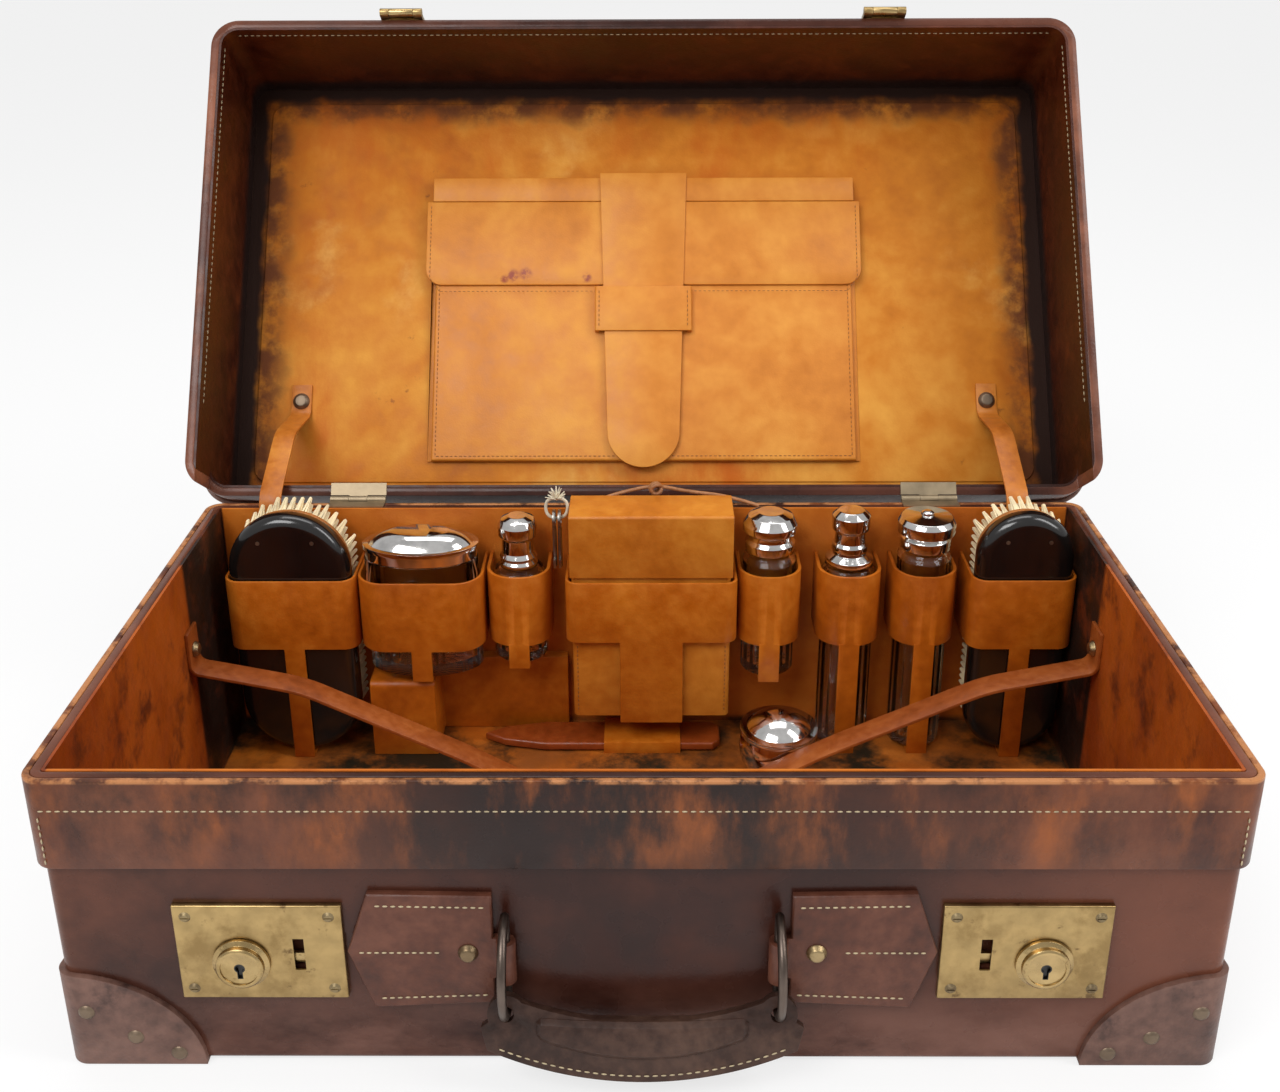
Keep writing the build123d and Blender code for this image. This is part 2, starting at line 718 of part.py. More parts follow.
def make_stay_strap():
    """Leather strap from inside the base's back wall to the stud on the lid, hanging a little slack."""
    stud_y, stud_z = stay_stud_place()
    lean = math.radians(lid_open_angle - 90)
    off = stay_thickness / 2 + leather_gap
    low_y = inner_back - off
    normal = (-math.cos(lean), math.sin(lean))
    top = (stud_y + normal[0] * off, stud_z + normal[1] * off)
    up = (math.sin(lean), math.cos(lean))
    path = FilletPolyline((low_y, stay_anchor_low), (low_y, base_height + 7),
                          (stud_y - 52, stud_z - 3), (top[0] - 10 * up[0], top[1] - 10 * up[1]),
                          (top[0] + 12 * up[0], top[1] + 12 * up[1]), radius=(14, 30, 10))
    band = Plane.YZ * trace(path, stay_thickness)
    return Pos(stay_x, 0, 0) * extrude(band, stay_width / 2, both=True)


def make_stay_stud():
    """Stud and washer plate through the strap's end, standing on the lid's pad."""
    stud = dome(stay_stud_radius, 2.4)
    drop = wallet_face - stay_thickness - 2 * leather_gap
    return Pos(stay_x, along_lid(stay_stud_along), drop) * Rot(180, 0, 0) * stud


# ================================================================ leather loops
def make_loop(x, inner_half_width, inner_front, low, high, corner, sling_low, sling_back):
    """Leather band from the back wall round a fitting, with its sling strap down the front."""
    outer_half = inner_half_width + loop_leather
    outer_front = inner_front - loop_leather
    reach = 40.0
    outer = RectangleRounded(2 * outer_half, inner_back + reach - outer_front, corner + loop_leather)
    inner = RectangleRounded(2 * inner_half_width, inner_back + reach - inner_front, corner)
    y_outer = (outer_front + inner_back + reach) / 2
    y_inner = (inner_front + inner_back + reach) / 2
    band = Pos(x, y_outer, low) * extrude(outer, high - low)
    band -= Pos(x, y_inner, low) * extrude(inner, high - low)
    band -= slab(x - 2 * outer_half, x + 2 * outer_half, inner_back, inner_back + 2 * reach, low, high)
    half = sling_width / 2
    strap = slab(x - half, x + half, outer_front, inner_front, sling_low - loop_leather, low + 1)
    strap += slab(x - half, x + half, outer_front, sling_back, sling_low - loop_leather, sling_low)
    return band + strap


def brush_loop(x, width):
    return make_loop(x, width / 2 + loop_gap, brush_front - loop_gap, loop_low, loop_high,
                     brush_edge_round + loop_gap, floor_top + loop_leather, inner_back)


# ================================================================ brushes
def brush_outline(width, length):
    return Plane.XZ * SlotOverall(length, width, rotation=90)


def brush_middle():
    """Height of the middle of a standing brush."""
    return (floor_top + loop_leather + leather_gap + brush_top) / 2


def brush_length():
    return brush_top - (floor_top + loop_leather + leather_gap)


def make_brush_back(x, width):
    """Ebony back with an eased face, on a slice of lighter wood that carries the bristles."""
    veneer = extrude(brush_outline(width, brush_length()), ebony_thickness)
    veneer = Pos(x, brush_front + ebony_thickness, brush_middle()) * veneer
    return fillet(veneer.faces().sort_by(Axis.Y)[0].edges(), brush_edge_round)


def make_brush_bristles(x, width):
    """Rows of square tufts set in the wooden slice behind the ebony."""
    y_slice = brush_front + ebony_thickness
    y_root = y_slice + brush_body_thickness
    slice_shape = extrude(brush_outline(width - 3, brush_length() - 3), brush_body_thickness)
    slice_shape = Pos(x, y_root, brush_middle()) * slice_shape
    field_half = width / 2 - 5
    straight = brush_length() / 2 - width / 2
    tufts = []
    columns = int(field_half / bristle_pitch)
    rows = int((brush_length() / 2 - 5) / bristle_pitch)
    for column in range(-columns, columns + 1):
        for row in range(-rows, rows + 1):
            dx, dz = column * bristle_pitch, row * bristle_pitch
            past_straight = max(abs(dz) - straight, 0.0)
            if math.hypot(dx, past_straight) > field_half:
                continue
            tuft = slab(x + dx - bristle_size / 2, x + dx + bristle_size / 2, y_root - 1,
                        y_root + bristle_length, brush_middle() + dz - bristle_size / 2,
                        brush_middle() + dz + bristle_size / 2)
            tufts.append(tuft.solid())
    return slice_shape.solid().fuse(*tufts)


# ================================================================ jar and bottles
jar_y = inner_back - fitting_back_gap - jar_depth / 2
bottle_y = inner_back - fitting_back_gap - bottle_radius


def oval(width, depth, z_low, z_high):
    return Pos(jar_x, jar_y, z_low) * extrude(Ellipse(width / 2, depth / 2), z_high - z_low)


def make_jar():
    """Oval glass jar with a thick foot and a plain rim under the lid."""
    jar = oval(jar_width, jar_depth, jar_bottom, jar_shoulder)
    jar += oval(jar_width - 8, jar_depth - 8, jar_shoulder, jar_shoulder + 5)
    jar -= oval(jar_width - 8 - 2 * glass_wall, jar_depth - 8 - 2 * glass_wall,
                jar_bottom + 2 * glass_wall, jar_shoulder + 5)
    return jar


def make_jar_lid():
    """Plated oval lid: straight skirt, raised bead and a shallow dome."""
    low = jar_shoulder + cap_gap
    side_top = low + 9
    lid = oval(jar_width - 1, jar_depth - 1, low, side_top)
    lid += oval(jar_width + 1, jar_depth + 1, side_top - 3, side_top)
    crown = loft([Pos(jar_x, jar_y, side_top) * Ellipse(jar_width / 2 - 3, jar_depth / 2 - 3),
                  Pos(jar_x, jar_y, side_top + 3.5) * Ellipse(jar_width / 2 - 7, jar_depth / 2 - 6),
                  Pos(jar_x, jar_y, jar_top) * Ellipse(jar_width / 2 - 18, jar_depth / 2 - 12)])
    lid += crown
    lid -= oval(jar_width - 8 + 2 * cap_gap, jar_depth - 8 + 2 * cap_gap, low, low + 5)
    return lid


def make_bottle(x, bottom, shoulder, neck_top, radius):
    """Glass bottle: straight body, rounded shoulder, narrow neck, hollow."""
    inner = radius - glass_wall
    profile = Polyline((0, bottom), (radius - 1, bottom), (radius, bottom + 1.5), (radius, shoulder - 5),
                       (radius - 2, shoulder - 1.5), (neck_outer, shoulder), (neck_outer, neck_top),
                       (neck_bore, neck_top), (neck_bore, shoulder - glass_wall),
                       (inner - 2, shoulder - glass_wall - 2), (inner, shoulder - glass_wall - 5),
                       (inner, bottom + 2 * glass_wall), (0, bottom + 2 * glass_wall), (0, bottom))
    return Pos(x, bottle_y, 0) * revolve(Plane.XZ * make_face(profile), Axis.Z)


def make_cap(x, steps, neck_top):
    """Turned plated cap: a stack of radii from its foot up, bored to sit over the neck."""
    points = [(0.0, steps[0][1])]
    for radius, z in steps:
        points.append((radius, z))
    points.append((0.0, steps[-1][1]))
    cap = revolve(Plane.XZ * make_face(Polyline(*points, close=True)), Axis.Z)
    bore_radius = neck_outer + cap_gap
    foot = steps[0][1]
    cap -= Pos(0, 0, foot) * Cylinder(bore_radius, neck_top + cap_gap - foot,
                                      align=(Align.CENTER, Align.CENTER, Align.MIN))
    return Pos(x, bottle_y, 0) * cap


# each bottle: name, centre X, bottom, shoulder, neck top, then the cap's profile from its foot up
bottle_1 = (bottle_1_x, 72.0, 134.5, 149.5)
cap_1_steps = ((12.0, 134.8), (12.0, 137.5), (10.5, 139.5), (12.0, 141.5), (10.2, 144.5),
               (10.2, 153.5), (12.5, 156.0), (12.5, 162.5), (10.5, 166.5), (6.0, 168.5))
bottle_2 = (bottle_2_x, 62.0, 145.0, 154.0)
cap_2_steps = ((15.5, 145.3), (16.0, 151.0), (14.0, 153.5), (14.0, 156.5), (17.5, 159.0),
               (17.5, 163.5), (14.0, 168.5), (8.0, 171.0))
bottle_3 = (bottle_3_x, 6.5, 136.0, 152.0)
cap_3_steps = ((14.8, 136.3), (15.0, 140.0), (10.5, 143.0), (11.5, 145.5), (11.5, 149.0),
               (10.0, 151.0), (10.0, 158.0), (12.0, 160.0), (12.0, 168.5), (8.0, 172.0))
bottle_4 = (bottle_4_x, 6.5, 147.0, 156.0)
cap_4_steps = ((16.0, 147.3), (16.0, 154.0), (14.5, 155.5), (18.4, 158.0), (18.4, 164.5),
               (16.0, 167.5), (4.0, 168.5), (4.0, 170.5), (2.0, 171.5))


def standing(bottom):
    """Foot of a bottle: on its sling strap where it reaches the floor."""
    return max(bottom, floor_top + loop_leather) + leather_gap


def bottle_loop(x, bottom):
    half = bottle_radius + loop_gap
    return make_loop(x, half, bottle_y - half, loop_low, loop_high, half - 2,
                     standing(bottom) - leather_gap, inner_back)


# ================================================================ leather case
case_back = inner_back - fitting_back_gap - 3.0
case_front = case_back - case_depth
case_body_top = case_top - case_leather - leather_gap


def make_case_body():
    """Stiff upright leather case, open at the top under its flap."""
    half = case_width / 2
    body = slab(case_x - half, case_x + half, case_front, case_back, case_bottom, case_body_top)
    body = fillet(body.edges().filter_by(Axis.Z), 4.0)
    t = case_leather
    return body - slab(case_x - half + t, case_x + half - t, case_front + t, case_back - t,
                       case_bottom + t, case_body_top)


def make_case_flap():
    """Flap over the top and down the front, hinged along the top back edge."""
    half = case_width / 2 + 1
    y_front = case_front - leather_gap - case_leather
    flap = slab(case_x - half, case_x + half, y_front, case_back, case_top - case_leather, case_top)
    flap += slab(case_x - half, case_x + half, y_front, case_front - leather_gap,
                 case_top - case_flap_drop, case_top)
    outer_edge = flap.edges().filter_by(Axis.X).group_by(Axis.Z)[-1].sort_by(Axis.Y)[0]
    return fillet(outer_edge, 1.8)


def make_case_loop():
    inner_front = case_front - leather_gap - case_leather - loop_gap
    loop = make_loop(case_x, case_width / 2 + 2, inner_front, case_loop_low, case_loop_high, 6.0,
                     case_bottom - leather_gap, case_back)
    half = 20.0
    y_low = inner_front - loop_leather
    loop += slab(case_x - half, case_x + half, y_low, inner_front,
                 case_bottom - leather_gap - loop_leather, case_loop_low + 1)
    loop += slab(case_x - half, case_x + half, y_low, inner_back,
                 case_bottom - leather_gap - loop_leather, case_bottom - leather_gap)
    return loop


def make_riser():
    """Leather-covered block under the jar, stepped lower and further back under the small bottle."""
    high = slab(riser_left, riser_step, brush_front, inner_back, floor_top, riser_top)
    high = fillet(high.edges().filter_by(Axis.X).group_by(Axis.Z)[-1].sort_by(Axis.Y)[0], 4.0)
    low = slab(riser_step, case_left - 5, sheath_back + 3, inner_back, floor_top, riser_top)
    return high + low


# ================================================================ pot
pot_z = floor_top + math.sqrt(pot_radius ** 2 - 8.0 ** 2)


def make_pot_lower():
    """Turned ball-shaped cup on a small flat, with a flared rim."""
    ball = Sphere(pot_radius) - Sphere(pot_radius - pot_wall)
    ball -= Pos(0, 0, pot_split + pot_radius) * Box(3 * pot_radius, 3 * pot_radius, 2 * pot_radius)
    inside = math.sqrt((pot_radius - pot_wall) ** 2 - pot_split ** 2)
    rim = Pos(0, 0, pot_split - 1) * (Cylinder(pot_rim_radius, 2) - Cylinder(inside, 2))
    under = -(pot_z - floor_top)
    cup = ball + rim
    cup -= Pos(0, 0, under - pot_radius) * Box(3 * pot_radius, 3 * pot_radius, 2 * pot_radius)
    cup += Pos(0, 0, under + pot_foot) * Cylinder(8.5, 2 * pot_foot)
    return Pos(pot_x, pot_y, pot_z) * cup


def make_pot_upper():
    """Domed lid resting on the rim."""
    base = pot_split + cap_gap
    dome_part = Sphere(pot_radius) - Sphere(pot_radius - pot_wall)
    dome_part &= Pos(0, 0, base + pot_radius) * Box(3 * pot_radius, 3 * pot_radius, 2 * pot_radius)
    inside = math.sqrt((pot_radius - pot_wall) ** 2 - base ** 2)
    rim = Pos(0, 0, base + 0.6) * (Cylinder(pot_rim_radius, 1.2) - Cylinder(inside - 1, 1.2))
    return Pos(pot_x, pot_y, pot_z) * (dome_part + rim)


# ================================================================ luggage straps
def luggage_strap(end_x, end_rise):
    """Left-hand strap: studded to the side wall, sagging to the floor and on past the middle."""
    t = strap_thickness
    x_wall = -inner_half + t / 2
    z_floor = floor_top + t / 2 + end_rise
    path = FilletPolyline((x_wall, strap_anchor_z + 14), (x_wall, strap_anchor_z - 12),
                          (-inner_half + 66.5, strap_anchor_z - 22), (-inner_half + 161.5, 47 + end_rise),
                          (-30.0, z_floor), (end_x, z_floor), radius=(6, 90, 300, 60))
    ribbon = extrude(Plane.XZ * trace(path, t), body_depth, both=True)
    half = strap_width / 2
    plan = Polyline((-inner_half, strap_anchor_y - half), (0, strap_centre_y - half),
                    (inner_half, strap_centre_y - half), (inner_half, strap_centre_y + half),
                    (0, strap_centre_y + half), (-inner_half, strap_anchor_y + half),
                    (-inner_half, strap_anchor_y - half))
    return ribbon & extrude(make_face(plan), base_height)


def make_strap_buckle():
    """Square brass frame with its prong, where the two straps meet on the floor."""
    low = floor_top + 2 * strap_thickness + 1.2
    frame = slab(-8, 14, strap_centre_y - 14, strap_centre_y + 14, low, low + 2.4)
    frame -= slab(-5, 11, strap_centre_y - 11, strap_centre_y + 11, low, low + 2.4)
    return frame + slab(-7, 12, strap_centre_y - 1.2, strap_centre_y + 1.2, low + 1.2, low + 3.2)


# ================================================================ sheath, lace and keys
def make_sheath():
    """Flat stitched leather sheath on the floor, pointed at its left end."""
    mid = sheath_back - sheath_width / 2
    half = sheath_width / 2
    outline = Polyline((sheath_left, mid), (sheath_left + 14, mid - 0.6 * half),
                       (sheath_left + 40, mid - half), (sheath_right - 5, mid - half),
                       (sheath_right, mid - half + 5), (sheath_right, mid + half - 5),
                       (sheath_right - 5, mid + half), (sheath_left + 40, mid + half),
                       (sheath_left + 14, mid + 0.6 * half), (sheath_left, mid))
    low = floor_top + keeper_leather + leather_gap
    body = Pos(0, 0, low) * extrude(make_face(outline), sheath_thickness)
    return chamfer(body.faces().sort_by(Axis.Z)[-1].edges(), 1.0)


def make_sheath_keeper():
    """Pale leather band sewn round the sheath."""
    y_low = sheath_back - sheath_width
    low = floor_top
    g = leather_gap
    outer = slab(keeper_left, keeper_right, y_low - g - keeper_leather, sheath_back + g + keeper_leather,
                 low, low + 2 * keeper_leather + 2 * g + sheath_thickness)
    return outer - slab(keeper_left, keeper_right, y_low - g, sheath_back + g, low + keeper_leather,
                        low + keeper_leather + 2 * g + sheath_thickness)


lace_y = inner_back + lace_radius + 0.3
lace_z = base_height + lace_radius


def make_lace():
    """Leather lace laid along the back rim and knotted once."""
    points = ((-46, 0), (-30, 0.6), (-12, 0.2), (4, 4.2))
    left = FilletPolyline(*[(x, lace_y, lace_z + z) for x, z in points], radius=40)
    points = ((12, 4.2), (28, 0.2), (52, 0.8), (74, 0))
    right = FilletPolyline(*[(x, lace_y, lace_z + z) for x, z in points], radius=40)
    pieces = []
    for path in (left, right):
        start = Plane(origin=path @ 0, z_dir=path % 0)
        pieces.append(sweep(start * Circle(lace_radius), path=path))
    knot_place = Pos(8, lace_y - knot_forward, lace_z + 4.4)
    knot = knot_place * Rot(90, 0, 25) * Torus(3.6, 1.7) + knot_place * Sphere(3.4)
    joined = knot
    for piece in pieces:
        joined += piece
    return joined


def make_keys():
    """Two flat steel keys hanging side by side on the string, bow up."""
    keys = []
    eye_z = key_string_z - key_eye + string_radius + key_hang_gap
    for x in (key_x - key_spacing / 2, key_x + key_spacing / 2):
        bow = Rot(0, 90, 0) * (Cylinder(key_bow_radius, key_thickness) - Cylinder(key_eye, key_thickness))
        shaft = Pos(0, 0, -19) * Cylinder(1.3, 27)
        bit = Pos(0, -2.6, -29) * Box(1.6, 5.0, 6.0)
        keys.append(Pos(x, key_y, eye_z) * (bow + shaft + bit))
    return keys


def make_key_string():
    """Cream string: a ring through both bows, drawn up into a frayed tuft above them."""
    ring = Rot(90, 0, 0) * Torus(string_ring_radius, string_radius)
    tuft = Pos(0, 0, string_ring_radius + 3) * Cylinder(4.2, 8.0)
    tuft = chamfer(tuft.edges().sort_by(Axis.Z)[-1], 1.6)
    return Pos(key_x, key_y, key_string_z + string_ring_radius) * (ring + tuft)


# ================================================================ build everything
os.makedirs("parts", exist_ok=True)

save("base_shell", make_base_shell())
save("base_rim_band", make_rim_band())
save("base_lining", make_base_lining())
save("corner_pads", *make_base_corner_pads())
save("corner_rivets", *make_corner_rivets())
save("lock_plates", *both_sides(make_lock_plate()))
save("lock_screws", *make_lock_screws())
slider_right = make_lock_slider()
save("lock_slider_right", slider_right)
save("lock_slider_left", mirror(slider_right, about=Plane.YZ))
save("chapes", *both_sides(make_chape()))
save("brass_studs", *make_studs())
save("handle_rings", *both_sides(make_handle_ring()))
save("handle_grip", make_handle_grip())

outer_knuckles = (-hinge_length / 3, hinge_length / 3)
save("hinge_base_leaves", *[make_hinge_half(side * hinge_spacing, outer_knuckles, base_height)
                            for side in (-1, 1)])
save("hinge_pins", *[make_hinge_pin(side * hinge_spacing) for side in (-1, 1)])
save("hinge_lid_leaves", *[opened(make_hinge_half(side * hinge_spacing, (0,), seat - leaf_thickness))
                           for side in (-1, 1)])

save("lid_shell", opened(make_lid_shell()))
save("lid_lining", opened(make_lid_lining()))
save("lid_panel", opened(make_lid_panel()))
save("lid_corner_pads", *[opened(pad) for pad in make_lid_corner_pads()])
save("hasp_plates", *[opened(plate) for plate in both_sides(make_hasp_plate())])
hasp = make_hasp().rotate(Axis((0, hasp_y, hasp_z), (1, 0, 0)), -hasp_fold_angle)
save("hasp_right", opened(hasp))
save("hasp_left", opened(mirror(hasp, about=Plane.YZ)))

save("wallet_pocket", opened(make_wallet_pocket()))
save("wallet_flap", opened(make_wallet_flap()))
save("wallet_tongue", opened(make_wallet_tongue()))
save("wallet_keeper", opened(make_wallet_keeper()))
save("stay_straps", *both_sides(make_stay_strap()))
save("stay_studs", *[opened(stud) for stud in both_sides(make_stay_stud())])

save("brush_left_loop", brush_loop(brush_left_x, brush_left_width))
save("brush_right_loop", brush_loop(brush_right_x, brush_right_width))
jar_half = jar_width / 2 + loop_gap + 0.5
save("jar_loop", make_loop(jar_x, jar_half, jar_y - jar_depth / 2 - loop_gap, loop_low, loop_high, 16.0,
                           jar_bottom - leather_gap, inner_back))
save("bottle_loops", *[bottle_loop(bottle[0], bottle[1])
                       for bottle in (bottle_1, bottle_2, bottle_3, bottle_4)])
save("case_loop", make_case_loop())
save("riser_block", make_riser())

save("brush_left_back", make_brush_back(brush_left_x, brush_left_width))
save("brush_left_bristles", make_brush_bristles(brush_left_x, brush_left_width))
save("brush_right_back", make_brush_back(brush_right_x, brush_right_width))
save("brush_right_bristles", make_brush_bristles(brush_right_x, brush_right_width))
save("jar", make_jar())
save("jar_lid", make_jar_lid())
bottles = ((1, bottle_1, cap_1_steps), (2, bottle_2, cap_2_steps),
           (3, bottle_3, cap_3_steps), (4, bottle_4, cap_4_steps))
for number, (x, bottom, shoulder, neck_top), steps in bottles:
    save(f"bottle_{number}", make_bottle(x, standing(bottom), shoulder, neck_top, bottle_radius))
    save(f"bottle_cap_{number}", make_cap(x, steps, neck_top))
save("case_body", make_case_body())
save("case_flap", make_case_flap())
save("pot_lower", make_pot_lower())
save("pot_upper", make_pot_upper())
save("luggage_straps", luggage_strap(46.0, 0.0),
     mirror(luggage_strap(-8.0, strap_thickness + 0.6), about=Plane.YZ))
save("strap_buckle", make_strap_buckle())
save("sheath", make_sheath())
save("sheath_keeper", make_sheath_keeper())
save("lace", make_lace())
save("keys", *make_keys())
save("key_string", make_key_string())
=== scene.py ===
import bpy
import math
from mathutils import Matrix, Vector


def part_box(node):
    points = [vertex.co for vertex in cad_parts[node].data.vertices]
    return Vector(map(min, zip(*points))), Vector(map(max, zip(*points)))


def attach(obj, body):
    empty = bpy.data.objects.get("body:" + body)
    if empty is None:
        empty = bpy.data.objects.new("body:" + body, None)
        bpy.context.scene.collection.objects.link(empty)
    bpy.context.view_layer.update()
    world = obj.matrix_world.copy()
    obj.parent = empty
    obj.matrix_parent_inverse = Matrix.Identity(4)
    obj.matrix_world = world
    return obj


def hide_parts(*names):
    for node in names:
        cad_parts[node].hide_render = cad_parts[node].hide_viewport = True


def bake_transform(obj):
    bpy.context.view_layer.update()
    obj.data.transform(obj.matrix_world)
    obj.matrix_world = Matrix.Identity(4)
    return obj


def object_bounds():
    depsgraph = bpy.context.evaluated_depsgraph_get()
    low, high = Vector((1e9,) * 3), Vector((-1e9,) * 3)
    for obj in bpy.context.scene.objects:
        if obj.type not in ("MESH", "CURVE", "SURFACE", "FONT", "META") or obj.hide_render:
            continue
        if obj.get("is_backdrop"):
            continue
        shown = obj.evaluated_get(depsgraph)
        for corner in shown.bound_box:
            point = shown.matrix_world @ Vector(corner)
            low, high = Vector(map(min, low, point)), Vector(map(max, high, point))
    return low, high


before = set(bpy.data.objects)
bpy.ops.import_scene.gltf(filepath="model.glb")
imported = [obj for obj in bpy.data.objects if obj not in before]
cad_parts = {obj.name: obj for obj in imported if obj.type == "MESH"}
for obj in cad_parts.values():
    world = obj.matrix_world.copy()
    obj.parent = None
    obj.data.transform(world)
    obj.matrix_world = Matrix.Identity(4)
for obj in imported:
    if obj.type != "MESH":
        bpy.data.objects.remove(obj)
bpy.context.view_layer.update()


# ---- Carcass of the base: a wooden tray covered in one dark brown hide, with painted sheen lightening it at the ends and low down.
# A second strip of hide is sewn round its rim, and the inside is lined in red-brown calf, with painted shade
# on its side walls and at the back of its floor.
mm = 0.001
lid_turn = math.radians(123)
lid_pin = Vector((0, 158.2, 164.9))
smooth_turn = math.radians(32)
seam_gap = 0.004 * mm


def unselect():
    for thing in bpy.context.selected_objects:
        thing.select_set(False)


def work_on(piece):
    """Makes one object the only chosen and the active one."""
    unselect()
    piece.select_set(True)
    bpy.context.view_layer.objects.active = piece


def leather(name, dark, mid, light, patch=9.0, grain=620.0, rough=(0.34, 0.58), relief=0.22, sway=0.0,
            gloss=0.5):
    """Hide whose colour drifts in patches, with pores, fine creases and an uneven shine."""
    m = bpy.data.materials.new(name)
    m.use_nodes = True
    n, join = m.node_tree.nodes, m.node_tree.links
    shader = n["Principled BSDF"]
    shader.inputs["Specular IOR Level"].default_value = gloss
    place = n.new("ShaderNodeTexCoord").outputs["Object"]
    broad = n.new("ShaderNodeTexNoise")
    broad.inputs["Scale"].default_value = patch
    broad.inputs["Detail"].default_value = 5.0
    broad.inputs["Roughness"].default_value = 0.62
    broad.inputs["Distortion"].default_value = 0.5
    fine = n.new("ShaderNodeTexNoise")
    fine.inputs["Scale"].default_value = patch * 11
    fine.inputs["Detail"].default_value = 4.0
    pores = n.new("ShaderNodeTexVoronoi")
    pores.inputs["Scale"].default_value = grain
    for texture in (broad, fine, pores):
        join.new(place, texture.inputs["Vector"])
    blend = n.new("ShaderNodeMix")
    blend.inputs[0].default_value = 0.3
    join.new(broad.outputs["Fac"], blend.inputs[2])
    join.new(fine.outputs["Fac"], blend.inputs[3])
    tones = n.new("ShaderNodeValToRGB")
    ramp = tones.color_ramp.elements
    ramp[0].position, ramp[0].color = 0.33, (*dark, 1)
    ramp[1].position, ramp[1].color = 0.66, (*light, 1)
    ramp.new(0.49).color = (*mid, 1)
    join.new(blend.outputs[0], tones.inputs["Fac"])
    join.new(tones.outputs["Color"], shader.inputs["Base Color"])
    shine = n.new("ShaderNodeMapRange")
    shine.inputs["From Min"].default_value = 0.3
    shine.inputs["From Max"].default_value = 0.7
    shine.inputs["To Min"].default_value = rough[0]
    shine.inputs["To Max"].default_value = rough[1]
    join.new(fine.outputs["Fac"], shine.inputs["Value"])
    join.new(shine.outputs["Result"], shader.inputs["Roughness"])
    pitted = n.new("ShaderNodeBump")
    pitted.inputs["Strength"].default_value = relief
    pitted.inputs["Distance"].default_value = 0.3 * mm
    join.new(pores.outputs["Distance"], pitted.inputs["Height"])
    creased = n.new("ShaderNodeBump")
    creased.inputs["Strength"].default_value = 0.35
    creased.inputs["Distance"].default_value = (0.6 + sway) * mm
    join.new((broad if sway else fine).outputs["Fac"], creased.inputs["Height"])
    join.new(pitted.outputs["Normal"], creased.inputs["Normal"])
    join.new(creased.outputs["Normal"], shader.inputs["Normal"])
    return m


def patches(m, scale, low, high, stretch=(1, 1, 1)):
    """A mask of ragged patches: nought under low, one over high."""
    n, join = m.node_tree.nodes, m.node_tree.links
    place = n.new("ShaderNodeMapping")
    place.inputs["Scale"].default_value = stretch
    join.new(n.new("ShaderNodeTexCoord").outputs["Object"], place.inputs["Vector"])
    noise = n.new("ShaderNodeTexNoise")
    noise.inputs["Scale"].default_value = scale
    noise.inputs["Detail"].default_value = 8.0
    noise.inputs["Roughness"].default_value = 0.65
    join.new(place.outputs["Vector"], noise.inputs["Vector"])
    return eased(m, noise.outputs["Fac"], low, high)


def eased(m, value, low, high):
    """Turns a value into a mask that rises smoothly from low to high."""
    n, join = m.node_tree.nodes, m.node_tree.links
    step = n.new("ShaderNodeMapRange")
    step.interpolation_type = "SMOOTHSTEP"
    flip = low > high
    step.inputs["From Min"].default_value = min(low, high)
    step.inputs["From Max"].default_value = max(low, high)
    step.inputs["To Min"].default_value = 1.0 if flip else 0.0
    step.inputs["To Max"].default_value = 0.0 if flip else 1.0
    join.new(value, step.inputs["Value"])
    return step.outputs["Result"]


def along(m, axis, low, high, whole=False, ragged=0.0, lid=False):
    """A mask by place: how far a point lies from low to high along an axis, in metres.
    whole reads both halves alike; ragged roughens the edge; lid measures the lid as it lies closed."""
    n, join = m.node_tree.nodes, m.node_tree.links
    place = n.new("ShaderNodeTexCoord").outputs["Object"]
    if lid:
        closed = n.new("ShaderNodeMapping")
        pin = lid_pin * mm
        closed.inputs["Rotation"].default_value = (lid_turn, 0, 0)
        closed.inputs["Location"].default_value = pin - Matrix.Rotation(lid_turn, 3, "X") @ pin
        join.new(place, closed.inputs["Vector"])
        place = closed.outputs["Vector"]
    parts = n.new("ShaderNodeSeparateXYZ")
    join.new(place, parts.inputs["Vector"])
    value = parts.outputs[axis]
    if whole:
        size = n.new("ShaderNodeMath")
        size.operation = "ABSOLUTE"
        join.new(value, size.inputs[0])
        value = size.outputs[0]
    if ragged:
        noise = n.new("ShaderNodeTexNoise")
        noise.inputs["Scale"].default_value = 55.0
        noise.inputs["Detail"].default_value = 6.0
        join.new(n.new("ShaderNodeTexCoord").outputs["Object"], noise.inputs["Vector"])
        spread = n.new("ShaderNodeMath")
        spread.operation = "MULTIPLY_ADD"
        spread.inputs[1].default_value = ragged
        join.new(noise.outputs["Fac"], spread.inputs[0])
        join.new(value, spread.inputs[2])
        value = spread.outputs[0]
    return eased(m, value, low, high)


def joined(m, how, first, second):
    node = m.node_tree.nodes.new("ShaderNodeMath")
    node.operation = how
    m.node_tree.links.new(first, node.inputs[0])
    if isinstance(second, float):
        node.inputs[1].default_value = second
    else:
        m.node_tree.links.new(second, node.inputs[1])
    return node.outputs[0]


def lay_over(m, colour, mask):
    """Lays one more colour over what is there, where the mask lets it show."""
    n, join = m.node_tree.nodes, m.node_tree.links
    target = n["Principled BSDF"].inputs["Base Color"]
    under = target.links[0].from_socket
    mix = n.new("ShaderNodeMix")
    mix.data_type = "RGBA"
    join.new(mask, mix.inputs[0])
    join.new(under, mix.inputs[6])
    mix.inputs[7].default_value = (*colour, 1)
    join.new(mix.outputs[2], target)


def finish_node(node, material):
    """Gives a solid of the frame its real material."""
    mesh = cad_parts[node].data
    mesh.materials.clear()
    mesh.materials.append(material)


